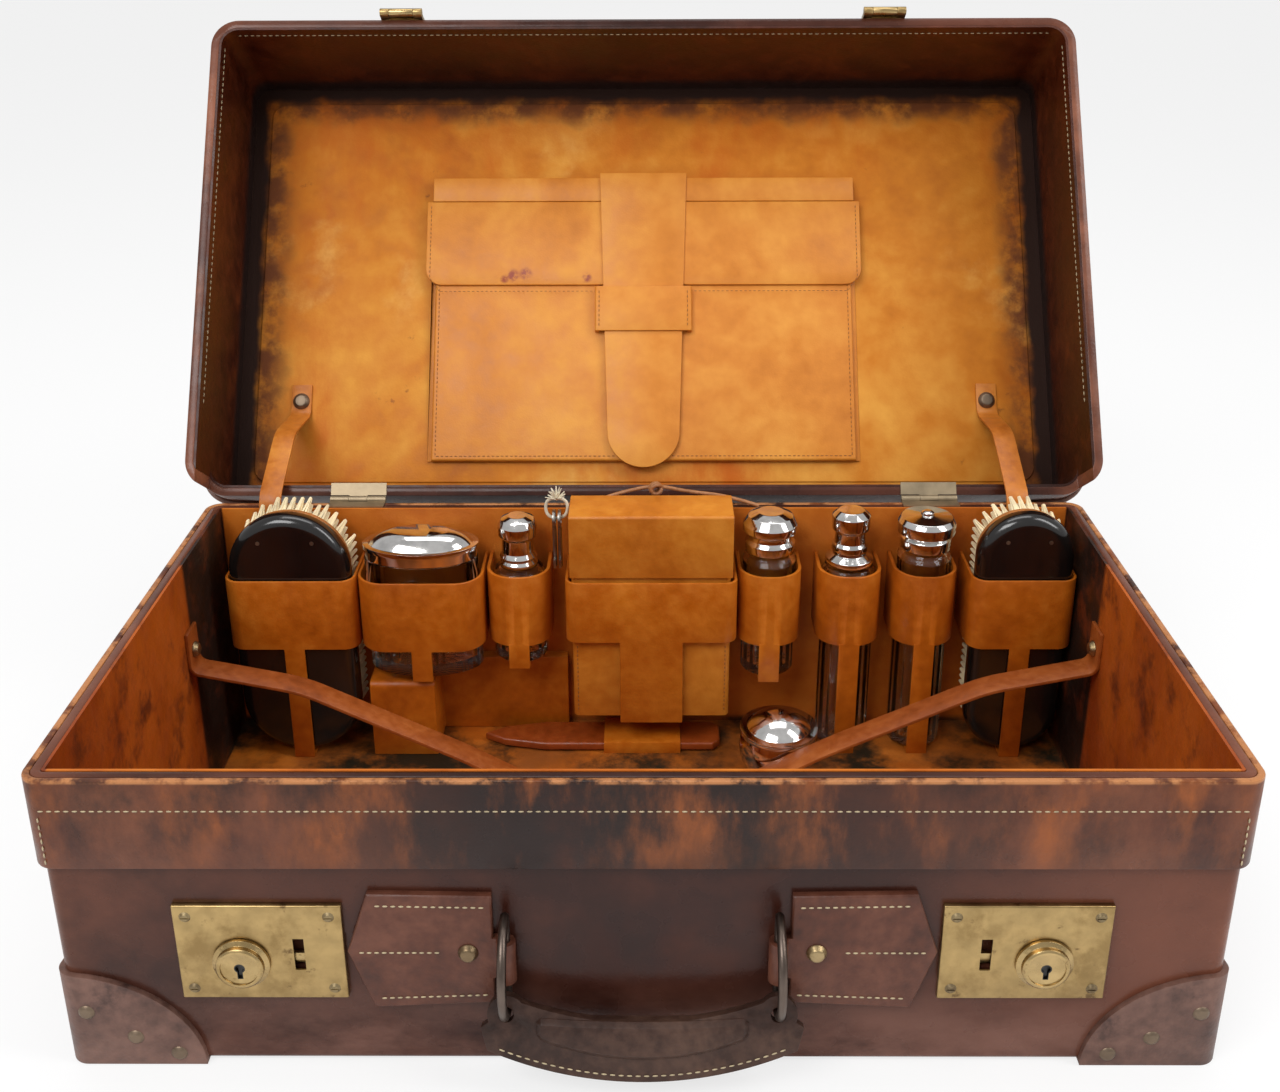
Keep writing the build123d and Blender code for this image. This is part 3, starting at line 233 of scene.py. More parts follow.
def softened(node, edge, material, body, turn=30.0, steps=2):
    """A copy of a solid with closed seams and its sharp edges eased, as handled leather and metal
    are. With body None it is attached to no body."""
    piece = bpy.data.objects.new(node + "_finished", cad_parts[node].data.copy())
    bpy.context.scene.collection.objects.link(piece)
    work_on(piece)
    if piece.data.has_custom_normals:
        bpy.ops.mesh.customdata_custom_splitnormals_clear()
    bpy.ops.object.mode_set(mode="EDIT")
    bpy.ops.mesh.select_all(action="SELECT")
    bpy.ops.mesh.remove_doubles(threshold=seam_gap)
    bpy.ops.mesh.dissolve_limited(angle_limit=math.radians(0.6))
    bpy.ops.object.mode_set(mode="OBJECT")
    if edge:
        bevel = piece.modifiers.new("eased", "BEVEL")
        bevel.width = edge
        bevel.segments = steps
        bevel.limit_method = "ANGLE"
        bevel.angle_limit = math.radians(turn)
        bpy.ops.object.modifier_apply(modifier="eased")
    piece.data.materials.clear()
    piece.data.materials.append(material)
    bpy.ops.object.shade_smooth_by_angle(angle=smooth_turn)
    if body:
        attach(piece, body)
    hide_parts(node)
    return piece


outer_hide = leather("outer_hide", (0.012, 0.004, 0.003), (0.036, 0.010, 0.006), (0.080, 0.023, 0.012),
                     patch=4.0, rough=(0.20, 0.36), relief=0.12, gloss=0.27)
# painted sheen: the hide lighter towards both ends, standing in for a haze of reflected light
end_sheen = joined(outer_hide, "MULTIPLY", along(outer_hide, 0, 0.08, 0.27, whole=True),
                  patches(outer_hide, 6, 0.26, 0.74))
lay_over(outer_hide, (0.160, 0.052, 0.028), end_sheen)
# painted sheen: the hide lighter low down
low_sheen = joined(outer_hide, "MULTIPLY", along(outer_hide, 2, 0.060, 0.0),
                  patches(outer_hide, 9, 0.36, 0.66, (1, 1, 2)))
lay_over(outer_hide, (0.19, 0.085, 0.060), low_sheen)
edge_wear = joined(outer_hide, "MULTIPLY", along(outer_hide, 0, 0.262, 0.286, whole=True),
                   patches(outer_hide, 14, 0.36, 0.74))
lay_over(outer_hide, (0.27, 0.10, 0.055), edge_wear)
softened("base_shell", 1.2 * mm, outer_hide, "base")

band_hide = leather("band_hide", (0.016, 0.006, 0.004), (0.056, 0.015, 0.008), (0.125, 0.036, 0.017),
                    patch=7.0, rough=(0.24, 0.44), relief=0.16, gloss=0.27)
band_ends = joined(band_hide, "MULTIPLY", along(band_hide, 0, 0.05, 0.22, whole=True),
                   patches(band_hide, 13, 0.34, 0.64, (1, 1, 0.6)))
lay_over(band_hide, (0.195, 0.063, 0.028), band_ends)
dark_middle = joined(band_hide, "MULTIPLY", along(band_hide, 0, 0.17, 0.05, whole=True),
                     patches(band_hide, 9, 0.30, 0.52))
lay_over(band_hide, (0.020, 0.009, 0.007), dark_middle)
drips = joined(band_hide, "MULTIPLY", along(band_hide, 2, 0.108, 0.150, ragged=0.02),
               patches(band_hide, 24, 0.45, 0.69, (1, 1, 0.36)))
lay_over(band_hide, (0.31, 0.084, 0.018), drips)
soot = joined(band_hide, "MULTIPLY", along(band_hide, 2, 0.110, 0.150, ragged=0.03),
              patches(band_hide, 14, 0.44, 0.68, (0.8, 1, 0.5)))
lay_over(band_hide, (0.014, 0.008, 0.007), soot)
rubbed_rim = joined(band_hide, "MULTIPLY", along(band_hide, 2, 0.1618, 0.1632),
                    patches(band_hide, 60, 0.40, 0.56))
lay_over(band_hide, (0.46, 0.19, 0.070), rubbed_rim)
softened("base_rim_band", 0.9 * mm, band_hide, "base")

inner_hide = leather("inner_hide", (0.34, 0.070, 0.006), (0.50, 0.125, 0.010), (0.62, 0.19, 0.020),
                     patch=7.0, rough=(0.40, 0.62), gloss=0.3)
# painted shade: the side walls of the lining darker than the back wall, as they take the light at a grazing
# angle
on_sides = along(inner_hide, 0, 0.2700, 0.2712, whole=True)
lay_over(inner_hide, (0.27, 0.046, 0.004), on_sides)
side_mottle = joined(inner_hide, "MULTIPLY", on_sides, patches(inner_hide, 9, 0.40, 0.68, (1, 1, 0.5)))
lay_over(inner_hide, (0.46, 0.102, 0.008), side_mottle)
# painted shadow: the rear of the side walls near black
rear_wall_shade = joined(inner_hide, "MULTIPLY", on_sides, along(inner_hide, 1, 0.060, 0.066))
lay_over(inner_hide, (0.020, 0.008, 0.004), rear_wall_shade)
floor_only = along(inner_hide, 2, 0.012, 0.007)
# darker patches over the floor of the lining
darker_floor_patches = joined(inner_hide, "MULTIPLY", floor_only, patches(inner_hide, 10, 0.35, 0.6))
lay_over(inner_hide, (0.24, 0.066, 0.010), darker_floor_patches)
# painted shade: the back of the floor near black, under the fittings
back_floor_shade = joined(inner_hide, "MULTIPLY", along(inner_hide, 1, 0.03, 0.09, ragged=0.05),
                    patches(inner_hide, 16, 0.42, 0.6))
lay_over(inner_hide, (0.022, 0.014, 0.006), joined(inner_hide, "MULTIPLY", floor_only, back_floor_shade))
# darker patches on the side walls
side_dark_patches = joined(inner_hide, "MULTIPLY", on_sides, patches(inner_hide, 30, 0.5, 0.70))
lay_over(inner_hide, (0.12, 0.024, 0.006), side_dark_patches)
finish_node("base_lining", inner_hide)


# ---- Stitching round the rim: waxed cream thread through the band, one row below the rim and
# short upright rows where the band is joined at the corners.
def plain(name, colour, rough, metal=0.0):
    """A material of one even colour, to be broken up by what is laid over it."""
    m = bpy.data.materials.new(name)
    m.use_nodes = True
    n, join = m.node_tree.nodes, m.node_tree.links
    shader = n["Principled BSDF"]
    shader.inputs["Metallic"].default_value = metal
    place = n.new("ShaderNodeTexCoord").outputs["Object"]
    spots = n.new("ShaderNodeTexNoise")
    spots.inputs["Scale"].default_value = 90.0
    spots.inputs["Detail"].default_value = 6.0
    join.new(place, spots.inputs["Vector"])
    tones = n.new("ShaderNodeValToRGB")
    ramp = tones.color_ramp.elements
    ramp[0].position, ramp[0].color = 0.32, (*[0.72 * c for c in colour], 1)
    ramp[1].position, ramp[1].color = 0.62, (*colour, 1)
    join.new(spots.outputs["Fac"], tones.inputs["Fac"])
    join.new(tones.outputs["Color"], shader.inputs["Base Color"])
    shine = n.new("ShaderNodeMapRange")
    shine.inputs["To Min"].default_value = rough[0]
    shine.inputs["To Max"].default_value = rough[1]
    join.new(spots.outputs["Fac"], shine.inputs["Value"])
    join.new(shine.outputs["Result"], shader.inputs["Roughness"])
    return m


thread = plain("thread", (0.52, 0.42, 0.26), (0.6, 0.85))
stitch_share = 0.37


def merged(name, pieces, material):
    """Joins pieces of one kind into one object of one material."""
    unselect()
    for piece in pieces:
        piece.select_set(True)
    bpy.context.view_layer.objects.active = pieces[0]
    bpy.ops.object.join()
    whole = bpy.context.object
    whole.name = name
    whole.data.materials.clear()
    if material:
        whole.data.materials.append(material)
    return whole


def stitches(name, lines, pitch, body, thick=0.8 * mm, material=None):
    """Rows of stitches: one stitch shaped from a small ball, then repeated along each line.
    The lines are in millimetres."""
    unselect()
    bpy.ops.mesh.primitive_uv_sphere_add(segments=6, ring_count=5, radius=1.0, location=(0, 0, 0))
    pattern = bpy.context.object
    copies = []
    for line in lines:
        points = [Vector(p) * mm for p in line]
        for start, end in zip(points, points[1:]):
            run = end - start
            count = max(1, round(run.length / (pitch * mm)))
            turn = run.to_track_quat("X", "Z").to_matrix().to_4x4()
            size = Matrix.Diagonal((stitch_share * run.length / count, thick / 2, thick / 2, 1))
            for i in range(count):
                copy = bpy.data.objects.new(name, pattern.data.copy())
                copy.data.transform(Matrix.Translation(start + run * (i + 0.5) / count) @ turn @ size)
                bpy.context.scene.collection.objects.link(copy)
                copies.append(copy)
    bpy.data.objects.remove(pattern)
    row = merged(name, copies, material or thread)
    bpy.ops.object.shade_smooth()
    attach(row, body)


row_z, band_face, band_end, row_half, row_reach, row_foot = 148.0, 155.6, 281.6, 274, 146, 118.0
rim_rows = []
for way in (-1, 1):
    rim_rows.append([(-row_half, way * band_face, row_z), (row_half, way * band_face, row_z)])
for way in (-1, 1):
    rim_rows.append([(way * band_end, -row_reach, row_z), (way * band_end, row_reach, row_z)])
for way in (-1, 1):
    rim_rows.append([(way * row_half, -band_face, row_z - 3), (way * row_half, -band_face, row_foot)])
stitches("rim_stitching", rim_rows, 3.9, "base")


# ---- Corner pads: shaped caps of thick dark hide over the bottom corners, edges turned and
# burnished, each held by dull brass rivets.
pad_hide = leather("pad_hide", (0.060, 0.028, 0.021), (0.14, 0.070, 0.052), (0.23, 0.120, 0.090),
                   patch=16.0, rough=(0.30, 0.52), relief=0.3, gloss=0.35)
lay_over(pad_hide, (0.035, 0.016, 0.013), patches(pad_hide, 34, 0.54, 0.74))
softened("corner_pads", 0.9 * mm, pad_hide, "base")
rivet_metal = plain("rivet_metal", (0.22, 0.16, 0.11), (0.3, 0.55), 0.85)
softened("corner_rivets", 0.35 * mm, rivet_metal, "base")


# ---- Two locks of old brass: a boxed plate with a slot for the staple, and a turned boss with
# a keyhole that slides sideways to draw the bolt. Four slotted screws hold each plate.
def old_brass(name, bright, dull, rough):
    m = plain(name, bright, rough, 1.0)
    lay_over(m, dull, patches(m, 34, 0.44, 0.64))
    lay_over(m, (0.16, 0.10, 0.045), patches(m, 110, 0.60, 0.72))
    n, join = m.node_tree.nodes, m.node_tree.links
    lines = n.new("ShaderNodeTexNoise")
    lines.inputs["Scale"].default_value = 60.0
    lines.inputs["Detail"].default_value = 4.0
    drawn = n.new("ShaderNodeMapping")
    drawn.inputs["Scale"].default_value = (1.0, 4.0, 26.0)
    join.new(n.new("ShaderNodeTexCoord").outputs["Object"], drawn.inputs["Vector"])
    join.new(drawn.outputs["Vector"], lines.inputs["Vector"])
    scored = n.new("ShaderNodeBump")
    scored.inputs["Strength"].default_value = 0.25
    scored.inputs["Distance"].default_value = 0.1 * mm
    join.new(lines.outputs["Fac"], scored.inputs["Height"])
    join.new(scored.outputs["Normal"], n["Principled BSDF"].inputs["Normal"])
    return m


plate_brass = old_brass("plate_brass", (0.47, 0.325, 0.14), (0.28, 0.185, 0.075), (0.26, 0.46))
softened("lock_plates", 0.35 * mm, plate_brass, "base")
boss_tones = ((0.52, 0.37, 0.17), (0.34, 0.235, 0.10), (0.2, 0.36))
boss_brass = old_brass("boss_brass", *boss_tones)


def keyhole(m, across, up, radius):
    """The keyhole as painted shade: dark in a round hole and in the slot below it."""
    n, join = m.node_tree.nodes, m.node_tree.links
    parts = n.new("ShaderNodeSeparateXYZ")
    join.new(n.new("ShaderNodeTexCoord").outputs["Object"], parts.inputs["Vector"])
    either_lock = joined(m, "ABSOLUTE", parts.outputs[0], 0.0)
    side = joined(m, "ABSOLUTE", joined(m, "SUBTRACT", either_lock, across * mm), 0.0)
    drop = joined(m, "SUBTRACT", parts.outputs[2], up * mm)
    squares = joined(m, "ADD", joined(m, "MULTIPLY", side, side), joined(m, "MULTIPLY", drop, drop))
    away = joined(m, "SQRT", squares, 0.0)
    hole = eased(m, away, radius * 1.05 * mm, radius * 0.95 * mm)
    height = joined(m, "MULTIPLY", eased(m, drop, 0.5 * mm, 0.0), eased(m, drop, -6.2 * mm, -5.8 * mm))
    narrow = eased(m, side, radius * 0.56 * mm, radius * 0.48 * mm)
    deep = joined(m, "MAXIMUM", hole, joined(m, "MULTIPLY", narrow, height))
    lay_over(m, (0.004, 0.003, 0.002), deep)
    bare = n.new("ShaderNodeMapRange")
    bare.inputs["To Min"].default_value = 1.0
    bare.inputs["To Max"].default_value = 0.0
    join.new(deep, bare.inputs["Value"])
    join.new(bare.outputs["Result"], n["Principled BSDF"].inputs["Metallic"])


key_brass = old_brass("key_brass", *boss_tones)
keyhole(key_brass, across=189.5, up=63.0, radius=2.6)
for slider in ("lock_slider_left", "lock_slider_right"):
    softened(slider, 0.35 * mm, key_brass, slider)
screw_brass = old_brass("screw_brass", (0.34, 0.26, 0.14), (0.14, 0.10, 0.06), (0.35, 0.6))
finish_node("lock_screws", screw_brass)


# ---- Handle: two pointed leather tabs sewn and studded to the front, each folded round the bar
# of a steel D ring, and a grip of stitched layers with a rolled middle that hangs on the rings.
tab_hide = leather("tab_hide", (0.040, 0.013, 0.008), (0.100, 0.032, 0.018), (0.170, 0.062, 0.036),
                   patch=14.0, rough=(0.3, 0.5), relief=0.25, gloss=0.3)
softened("chapes", 0.9 * mm, tab_hide, "base")
tab_face = -156.2
tab_rows = []
for side in (-1, 1):
    for outer, outer_z, inner, inner_z in ((125, 96, 73, 95), (134, 69, 95, 69), (125, 42, 73, 44)):
        tab_rows.append([(side * outer, tab_face, outer_z), (side * inner, tab_face, inner_z)])
stitches("tab_stitching", tab_rows, 3.6, "base", 0.9 * mm)
stud_brass = old_brass("stud_brass", (0.42, 0.31, 0.16), (0.20, 0.14, 0.08), (0.3, 0.5))
softened("brass_studs", 0.8 * mm, stud_brass, "base", 20.0, 3)
ring_steel = plain("ring_steel", (0.150, 0.115, 0.095), (0.28, 0.46), 1.0)
softened("handle_rings", 0, ring_steel, "base")
grip_hide = leather("grip_hide", (0.014, 0.006, 0.004), (0.042, 0.020, 0.014), (0.095, 0.050, 0.034),
                    patch=18.0, rough=(0.3, 0.5), relief=0.3, gloss=0.26)
softened("handle_grip", 1.2 * mm, grip_hide, "handle", 25.0, 3)


grip_tip = math.radians(-20)
ring_y, ring_z = -156.8, 65.5


def grip_point(x, out, z):
    """A point on the grip, given as it would hang upright, tipped off the front about the rings."""
    return (x, ring_y + out * math.cos(grip_tip) - z * math.sin(grip_tip),
            ring_z + out * math.sin(grip_tip) + z * math.cos(grip_tip))


lower_edge = [grip_point(x, -3.2, -54.0 + 14.5 * (x / 72) ** 2) for x in range(-68, 69, 8)]
upper_edge = [grip_point(x, -5.6, -32.0 + 3.0 * (x / 48) ** 2) for x in range(-44, 45, 8)]
stitches("grip_stitching", [lower_edge, upper_edge], 3.8, "handle", 0.8 * mm)


# ---- Two butt hinges of steel, their leaves let in under the lid wall and on the back rim,
# turning on a drawn pin.
hinge_steel = plain("hinge_steel", (0.36, 0.28, 0.18), (0.36, 0.55), 0.9)
for leaf in ("hinge_base_leaves", "hinge_lid_leaves", "hinge_pins"):
    finish_node(leaf, hinge_steel)


# ---- Lid: a shallow box of the same hide, lined down its walls in red leather. A thin board
# covered in tan skin fills its top, darker where the skin meets the walls, with broad patches that are
# partly its tone and partly painted shading of its billows.
softened("lid_shell", 1.2 * mm, outer_hide, "lid")
wall_skin = leather("wall_skin", (0.016, 0.004, 0.0015), (0.046, 0.008, 0.002), (0.096, 0.018, 0.003),
                    patch=8.0, rough=(0.28, 0.5), gloss=0.35)
lay_over(wall_skin, (0.15, 0.034, 0.006), patches(wall_skin, 12, 0.60, 0.80))
lay_over(wall_skin, (0.020, 0.010, 0.008), along(wall_skin, 2, 0.212, 0.222, ragged=0.010, lid=True))
finish_node("lid_lining", wall_skin)

panel_skin = leather("panel_skin", (0.38, 0.092, 0.006), (0.58, 0.190, 0.016), (0.74, 0.34, 0.055),
                     patch=5.0, rough=(0.44, 0.64), relief=0.2, sway=4.0, gloss=0.16)
# broad darker and lighter patches: partly the skin's own tone, partly painted shading of its billowed
# surface
lay_over(panel_skin, (0.52, 0.115, 0.006), patches(panel_skin, 5, 0.48, 0.68, (1.4, 0.6, 0.6)))
lay_over(panel_skin, (0.80, 0.46, 0.12), patches(panel_skin, 8, 0.56, 0.78))
upper = joined(panel_skin, "MULTIPLY", along(panel_skin, 1, -0.075, -0.145, lid=True, ragged=0.03),
               patches(panel_skin, 11, 0.38, 0.66))
lay_over(panel_skin, (0.48, 0.110, 0.010), upper)
lay_over(panel_skin, (0.26, 0.070, 0.012), patches(panel_skin, 46, 0.66, 0.74))
# the skin darker in a band along its sides and front edge, near black at the very edge
for axis, low, high, both_ways, ragged in ((0, 0.258, 0.276, True, 0.024),
                                           (1, -0.136, -0.153, False, -0.024)):
    edge_darkening = joined(panel_skin, "MULTIPLY",
                        along(panel_skin, axis, low, high, whole=both_ways, ragged=ragged, lid=True),
                        patches(panel_skin, 38, 0.30, 0.58))
    lay_over(panel_skin, (0.15, 0.045, 0.014), edge_darkening)
for axis, low, high, both_ways, ragged in ((0, 0.274, 0.281, True, 0.012),
                                           (1, -0.147, -0.157, False, -0.012)):
    lay_over(panel_skin, (0.030, 0.014, 0.010),
             along(panel_skin, axis, low, high, whole=both_ways, ragged=ragged, lid=True))
softened("lid_panel", 0.5 * mm, panel_skin, "lid")
softened("lid_corner_pads", 0.9 * mm, pad_hide, "lid")


def open_lid(point):
    """Where a point of the closed lid stands with the lid open, in millimetres."""
    return lid_pin + Matrix.Rotation(-lid_turn, 3, "X") @ (Vector(point) - lid_pin)


lid_rows = []
for half, front, wall, start, stop, z in ((275, -156.4, 282.4, -148, 100, 142),
                                          (280, -163.6, 289.6, -155, 146, 143)):
    lid_rows.append([open_lid((-half, front, z)), open_lid((half, front, z))])
    for side in (-1, 1):
        lid_rows.append([open_lid((side * wall, start, z)), open_lid((side * wall, stop, z))])
stitches("lid_stitching", lid_rows, 4.2, "lid", 0.7 * mm)


# ---- Two hasps of the same brass, hinged in plates on the lid's front wall, folded back here
# over the open lid, each with the staple that the lock's bolt catches.
softened("hasp_plates", 0.3 * mm, plate_brass, "lid")
for hasp in ("hasp_left", "hasp_right"):
    softened(hasp, 0.35 * mm, boss_brass, hasp)


# ---- Wallet on the lid: a flat pocket sewn to the tan skin, a flap with rounded corners, and a
# tongue that passes under a keeper. The skin is a smooth golden calf.
wallet_skin = leather("wallet_skin", (0.50, 0.150, 0.012), (0.64, 0.218, 0.022), (0.76, 0.32, 0.046),
                      patch=7.0, grain=800.0, rough=(0.38, 0.54), relief=0.16, gloss=0.35)


def mark(m, centre, size, colour):
    """One small stain: full at its middle, gone past its size, both in millimetres."""
    n, join = m.node_tree.nodes, m.node_tree.links
    away = n.new("ShaderNodeVectorMath")
    away.operation = "DISTANCE"
    join.new(n.new("ShaderNodeTexCoord").outputs["Object"], away.inputs[0])
    away.inputs[1].default_value = Vector(centre) * mm
    near = eased(m, away.outputs["Value"], size * mm, 0.3 * size * mm)
    lay_over(m, colour, joined(m, "MULTIPLY", near, patches(m, 160, 0.36, 0.56)))


pocket_z, flap_z, keeper_z = 218.2, 215.9, 212.1
for x, y, size in ((-92, -10.5, 6.5), (-83, -12, 6.0), (-40, -9, 5.0), (-98, -8, 4.0)):
    mark(wallet_skin, open_lid((x, y, flap_z)), size, (0.30, 0.050, 0.020))
softened("wallet_pocket", 0.7 * mm, wallet_skin, "lid")
softened("wallet_flap", 0.8 * mm, wallet_skin, "wallet_flap")
tongue = softened("wallet_tongue", 0.6 * mm, wallet_skin, None)


def bending(piece, start, end, cuts):
    """Cuts a strap across at evenly spaced places, square to the way from start to end."""
    work_on(piece)
    bpy.ops.object.mode_set(mode="EDIT")
    for i in range(cuts):
        bpy.ops.mesh.select_all(action="SELECT")
        bpy.ops.mesh.bisect(plane_co=start.lerp(end, (i + 0.5) / cuts), plane_no=end - start)
    bpy.ops.object.mode_set(mode="OBJECT")


tongue_z = 212.2
fold_start, fold_end = open_lid((0, -71, tongue_z)) * mm, open_lid((0, -60, tongue_z)) * mm
bending(tongue, fold_start, fold_end, cuts=9)
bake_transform(tongue)
softened("wallet_keeper", 0.6 * mm, wallet_skin, "lid")
tan_thread = plain("tan_thread", (0.30, 0.11, 0.025), (0.6, 0.8))
pocket_rows = [[(-144, -47, pocket_z), (-144, 119, pocket_z), (144, 119, pocket_z), (144, -47, pocket_z)],
               [(-31, 1, keeper_z), (-31, 28, keeper_z)], [(31, 1, keeper_z), (31, 28, keeper_z)]]
flap_rows = [[(-151, -63, flap_z), (-151, -9, flap_z), (-144, 1, flap_z), (144, 1, flap_z),
              (151, -9, flap_z), (151, -63, flap_z)]]
for name, rows, body in (("pocket_stitching", pocket_rows, "lid"),
                         ("flap_stitching", flap_rows, "wallet_flap")):
    stitches(name, [[open_lid(p) for p in line] for line in rows], 3.2, body, 0.5 * mm,
             tan_thread)


# ---- Stay straps: two soft leather straps that stop the lid, fixed low on the back wall and
# studded to the lid's skin.
strap_hide = leather("strap_hide", (0.16, 0.034, 0.006), (0.27, 0.062, 0.010), (0.38, 0.105, 0.020),
                     patch=18.0, rough=(0.32, 0.5), relief=0.2, gloss=0.4)
stay_hide = leather("stay_hide", (0.36, 0.095, 0.010), (0.52, 0.16, 0.018), (0.66, 0.25, 0.035),
                    patch=18.0, rough=(0.34, 0.5), relief=0.2, gloss=0.4)
stays = softened("stay_straps", 0.4 * mm, stay_hide, None)
slack_start, slack_end = Vector((0, 0.136, 0.164)), Vector((0, 0.200, 0.206))
bending(stays, slack_start, slack_end, cuts=18)
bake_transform(stays)
softened("stay_studs", 0.4 * mm, rivet_metal, "lid")


# ---- Loops for the fittings: each is a band of tan leather sewn to the back wall, with turned
# edges, and a narrow sling down its front that carries the fitting's weight.
loop_skin = leather("loop_skin", (0.31, 0.064, 0.003), (0.46, 0.112, 0.005), (0.60, 0.185, 0.014),
                    patch=12.0, rough=(0.32, 0.5), relief=0.2, gloss=0.35)
for loop in ("brush_left_loop", "brush_right_loop", "jar_loop", "bottle_loops", "case_loop"):
    softened(loop, 0.7 * mm, loop_skin, "base", 35.0)
softened("riser_block", 1.0 * mm, loop_skin, "base")


# ---- Two hair brushes: a polished ebony back with an eased edge, a slice of paler wood behind
# it, and rows of pale bristle tufts that face the wall.
ebony = plain("ebony", (0.007, 0.0055, 0.005), (0.12, 0.26))
ebony.node_tree.nodes["Principled BSDF"].inputs["Coat Weight"].default_value = 0.4
slice_wood = plain("slice_wood", (0.42, 0.15, 0.035), (0.35, 0.5))
bristle_hair = plain("bristle_hair", (0.93, 0.78, 0.50), (0.5, 0.75))
brush_middle, brush_length, hair_root = 92.4, 167.2, 121.0
quill_root, quill_tip, quill_length = 0.80, 0.62, 18.5
tuft_pitch, fan_out, pin_share, pin_drop = 4.6, 0.24, 0.22, 17
for side, x, width in (("left", -221.0, 76.0), ("right", 237.5, 60.0)):
    softened(f"brush_{side}_back", 0.3 * mm, ebony, f"brush_{side}")
    unselect()
    low_corner, high_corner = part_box(f"brush_{side}_back")
    heads = []
    for across in (-pin_share * width, pin_share * width):
        bpy.ops.mesh.primitive_cylinder_add(vertices=14, radius=1.3 * mm, depth=0.6 * mm, location=(0, 0, 0))
        head = bpy.context.object
        place = Vector(((x + across) * mm, low_corner[1], high_corner[2] - pin_drop * mm))
        head.data.transform(Matrix.Translation(place) @ Matrix.Rotation(math.radians(90), 4, "X"))
        heads.append(head)
    pins = merged(f"brush_{side}_pins", heads, rivet_metal)
    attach(pins, f"brush_{side}")

    board = bpy.data.objects.new(f"brush_{side}_slice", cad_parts[f"brush_{side}_bristles"].data.copy())
    bpy.context.scene.collection.objects.link(board)
    work_on(board)
    bpy.ops.object.mode_set(mode="EDIT")
    bpy.ops.mesh.select_all(action="SELECT")
    bpy.ops.mesh.remove_doubles(threshold=seam_gap)
    bpy.ops.mesh.bisect(plane_co=(0, (hair_root - 0.05) * mm, 0), plane_no=(0, 1, 0), use_fill=True,
                        clear_outer=True)
    bpy.ops.object.mode_set(mode="OBJECT")
    board.data.materials.clear()
    board.data.materials.append(slice_wood)
    bpy.ops.object.shade_smooth_by_angle(angle=smooth_turn)
    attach(board, f"brush_{side}")

    unselect()
    quills = []
    for i in range(9):
        turn = i * 2.4
        ring = math.sqrt(i)
        outward = Vector((math.cos(turn), 0, math.sin(turn))) * 0.56 * ring
        bpy.ops.mesh.primitive_cone_add(vertices=4, radius1=quill_root * mm, radius2=quill_tip * mm,
                                        depth=quill_length * mm, end_fill_type="TRIFAN", location=(0, 0, 0))
        quill = bpy.context.object
        lean = Matrix.Rotation(0.035 * ring, 4, Vector((-math.sin(turn), 0, math.cos(turn))))
        quill.data.transform(Matrix.Translation((outward + Vector((0, 8.5, 0))) * mm)
                             @ lean @ Matrix.Rotation(math.radians(-90), 4, "X"))
        quills.append(quill)
    tuft = merged("tuft", quills, None)
    half = width / 2 - 4
    straight = brush_length / 2 - width / 2
    columns, rows = int(half / tuft_pitch), int((brush_length / 2 - 5) / tuft_pitch)
    tufts = []
    for column in range(-columns, columns + 1):
        for row in range(-rows, rows + 1):
            dx, dz = column * tuft_pitch, row * tuft_pitch
            past = max(abs(dz) - straight, 0.0)
            if math.hypot(dx, past) > half:
                continue
            copy = bpy.data.objects.new("tuft", tuft.data.copy())
            spin = Matrix.Rotation(1.7 * column + 2.9 * row, 4, "Y")
            fan = (Matrix.Rotation(-fan_out * dx / half, 4, "Z")
                   @ Matrix.Rotation(fan_out * math.copysign(past, dz) / half, 4, "X"))
            foot = Vector((x + dx, hair_root, brush_middle + dz)) * mm
            copy.data.transform(Matrix.Translation(foot) @ fan @ spin)
            bpy.context.scene.collection.objects.link(copy)
            tufts.append(copy)
    bpy.data.objects.remove(tuft)
    hair = merged(f"brush_{side}_hair", tufts, bristle_hair)
    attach(hair, f"brush_{side}")
    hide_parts(f"brush_{side}_bristles")


# ---- Jar and bottles: thick clear glass, the lower parts ground in upright flutes, closed by
# turned and plated caps, and the oval jar by a plated lid with a raised bead.
def cut_glass(name, x, y, flutes):
    m = bpy.data.materials.new(name)
    m.use_nodes = True
    n, join = m.node_tree.nodes, m.node_tree.links
    shader = n["Principled BSDF"]
    shader.inputs["Base Color"].default_value = (0.97, 0.98, 0.95, 1)
    shader.inputs["Roughness"].default_value = 0.02
    shader.inputs["IOR"].default_value = 1.36
    shader.inputs["Transmission Weight"].default_value = 1.0
    about = n.new("ShaderNodeMapping")
    about.inputs["Location"].default_value = (-x * mm, -y * mm, 0)
    join.new(n.new("ShaderNodeTexCoord").outputs["Object"], about.inputs["Vector"])
    parts = n.new("ShaderNodeSeparateXYZ")
    join.new(about.outputs["Vector"], parts.inputs["Vector"])
    angle = joined(m, "ARCTAN2", parts.outputs[1], parts.outputs[0])
    wave = joined(m, "SINE", joined(m, "MULTIPLY", angle, float(flutes)), 0.0)
    fluted = n.new("ShaderNodeBump")
    fluted.inputs["Strength"].default_value = 0.55
    fluted.inputs["Distance"].default_value = 0.5 * mm
    join.new(joined(m, "MULTIPLY", wave, along(m, 2, 0.086, 0.084)), fluted.inputs["Height"])
    join.new(fluted.outputs["Normal"], shader.inputs["Normal"])
    return m


plating = plain("plating", (0.80, 0.78, 0.76), (0.05, 0.16), 1.0)
softened("jar", 0.5 * mm, cut_glass("jar_glass", -140.0, 121.5, flutes=30), "jar")
softened("jar_lid", 0.4 * mm, plating, "jar_lid", 20.0, 3)
for number, x in ((1, -79.0), (2, 80.0), (3, 130.5), (4, 178.0)):
    glass = cut_glass(f"bottle_{number}_glass", x, 125.5, flutes=16)
    softened(f"bottle_{number}", 0.4 * mm, glass, f"bottle_{number}")
    softened(f"bottle_cap_{number}", 0.35 * mm, plating, f"bottle_cap_{number}", 20.0, 3)


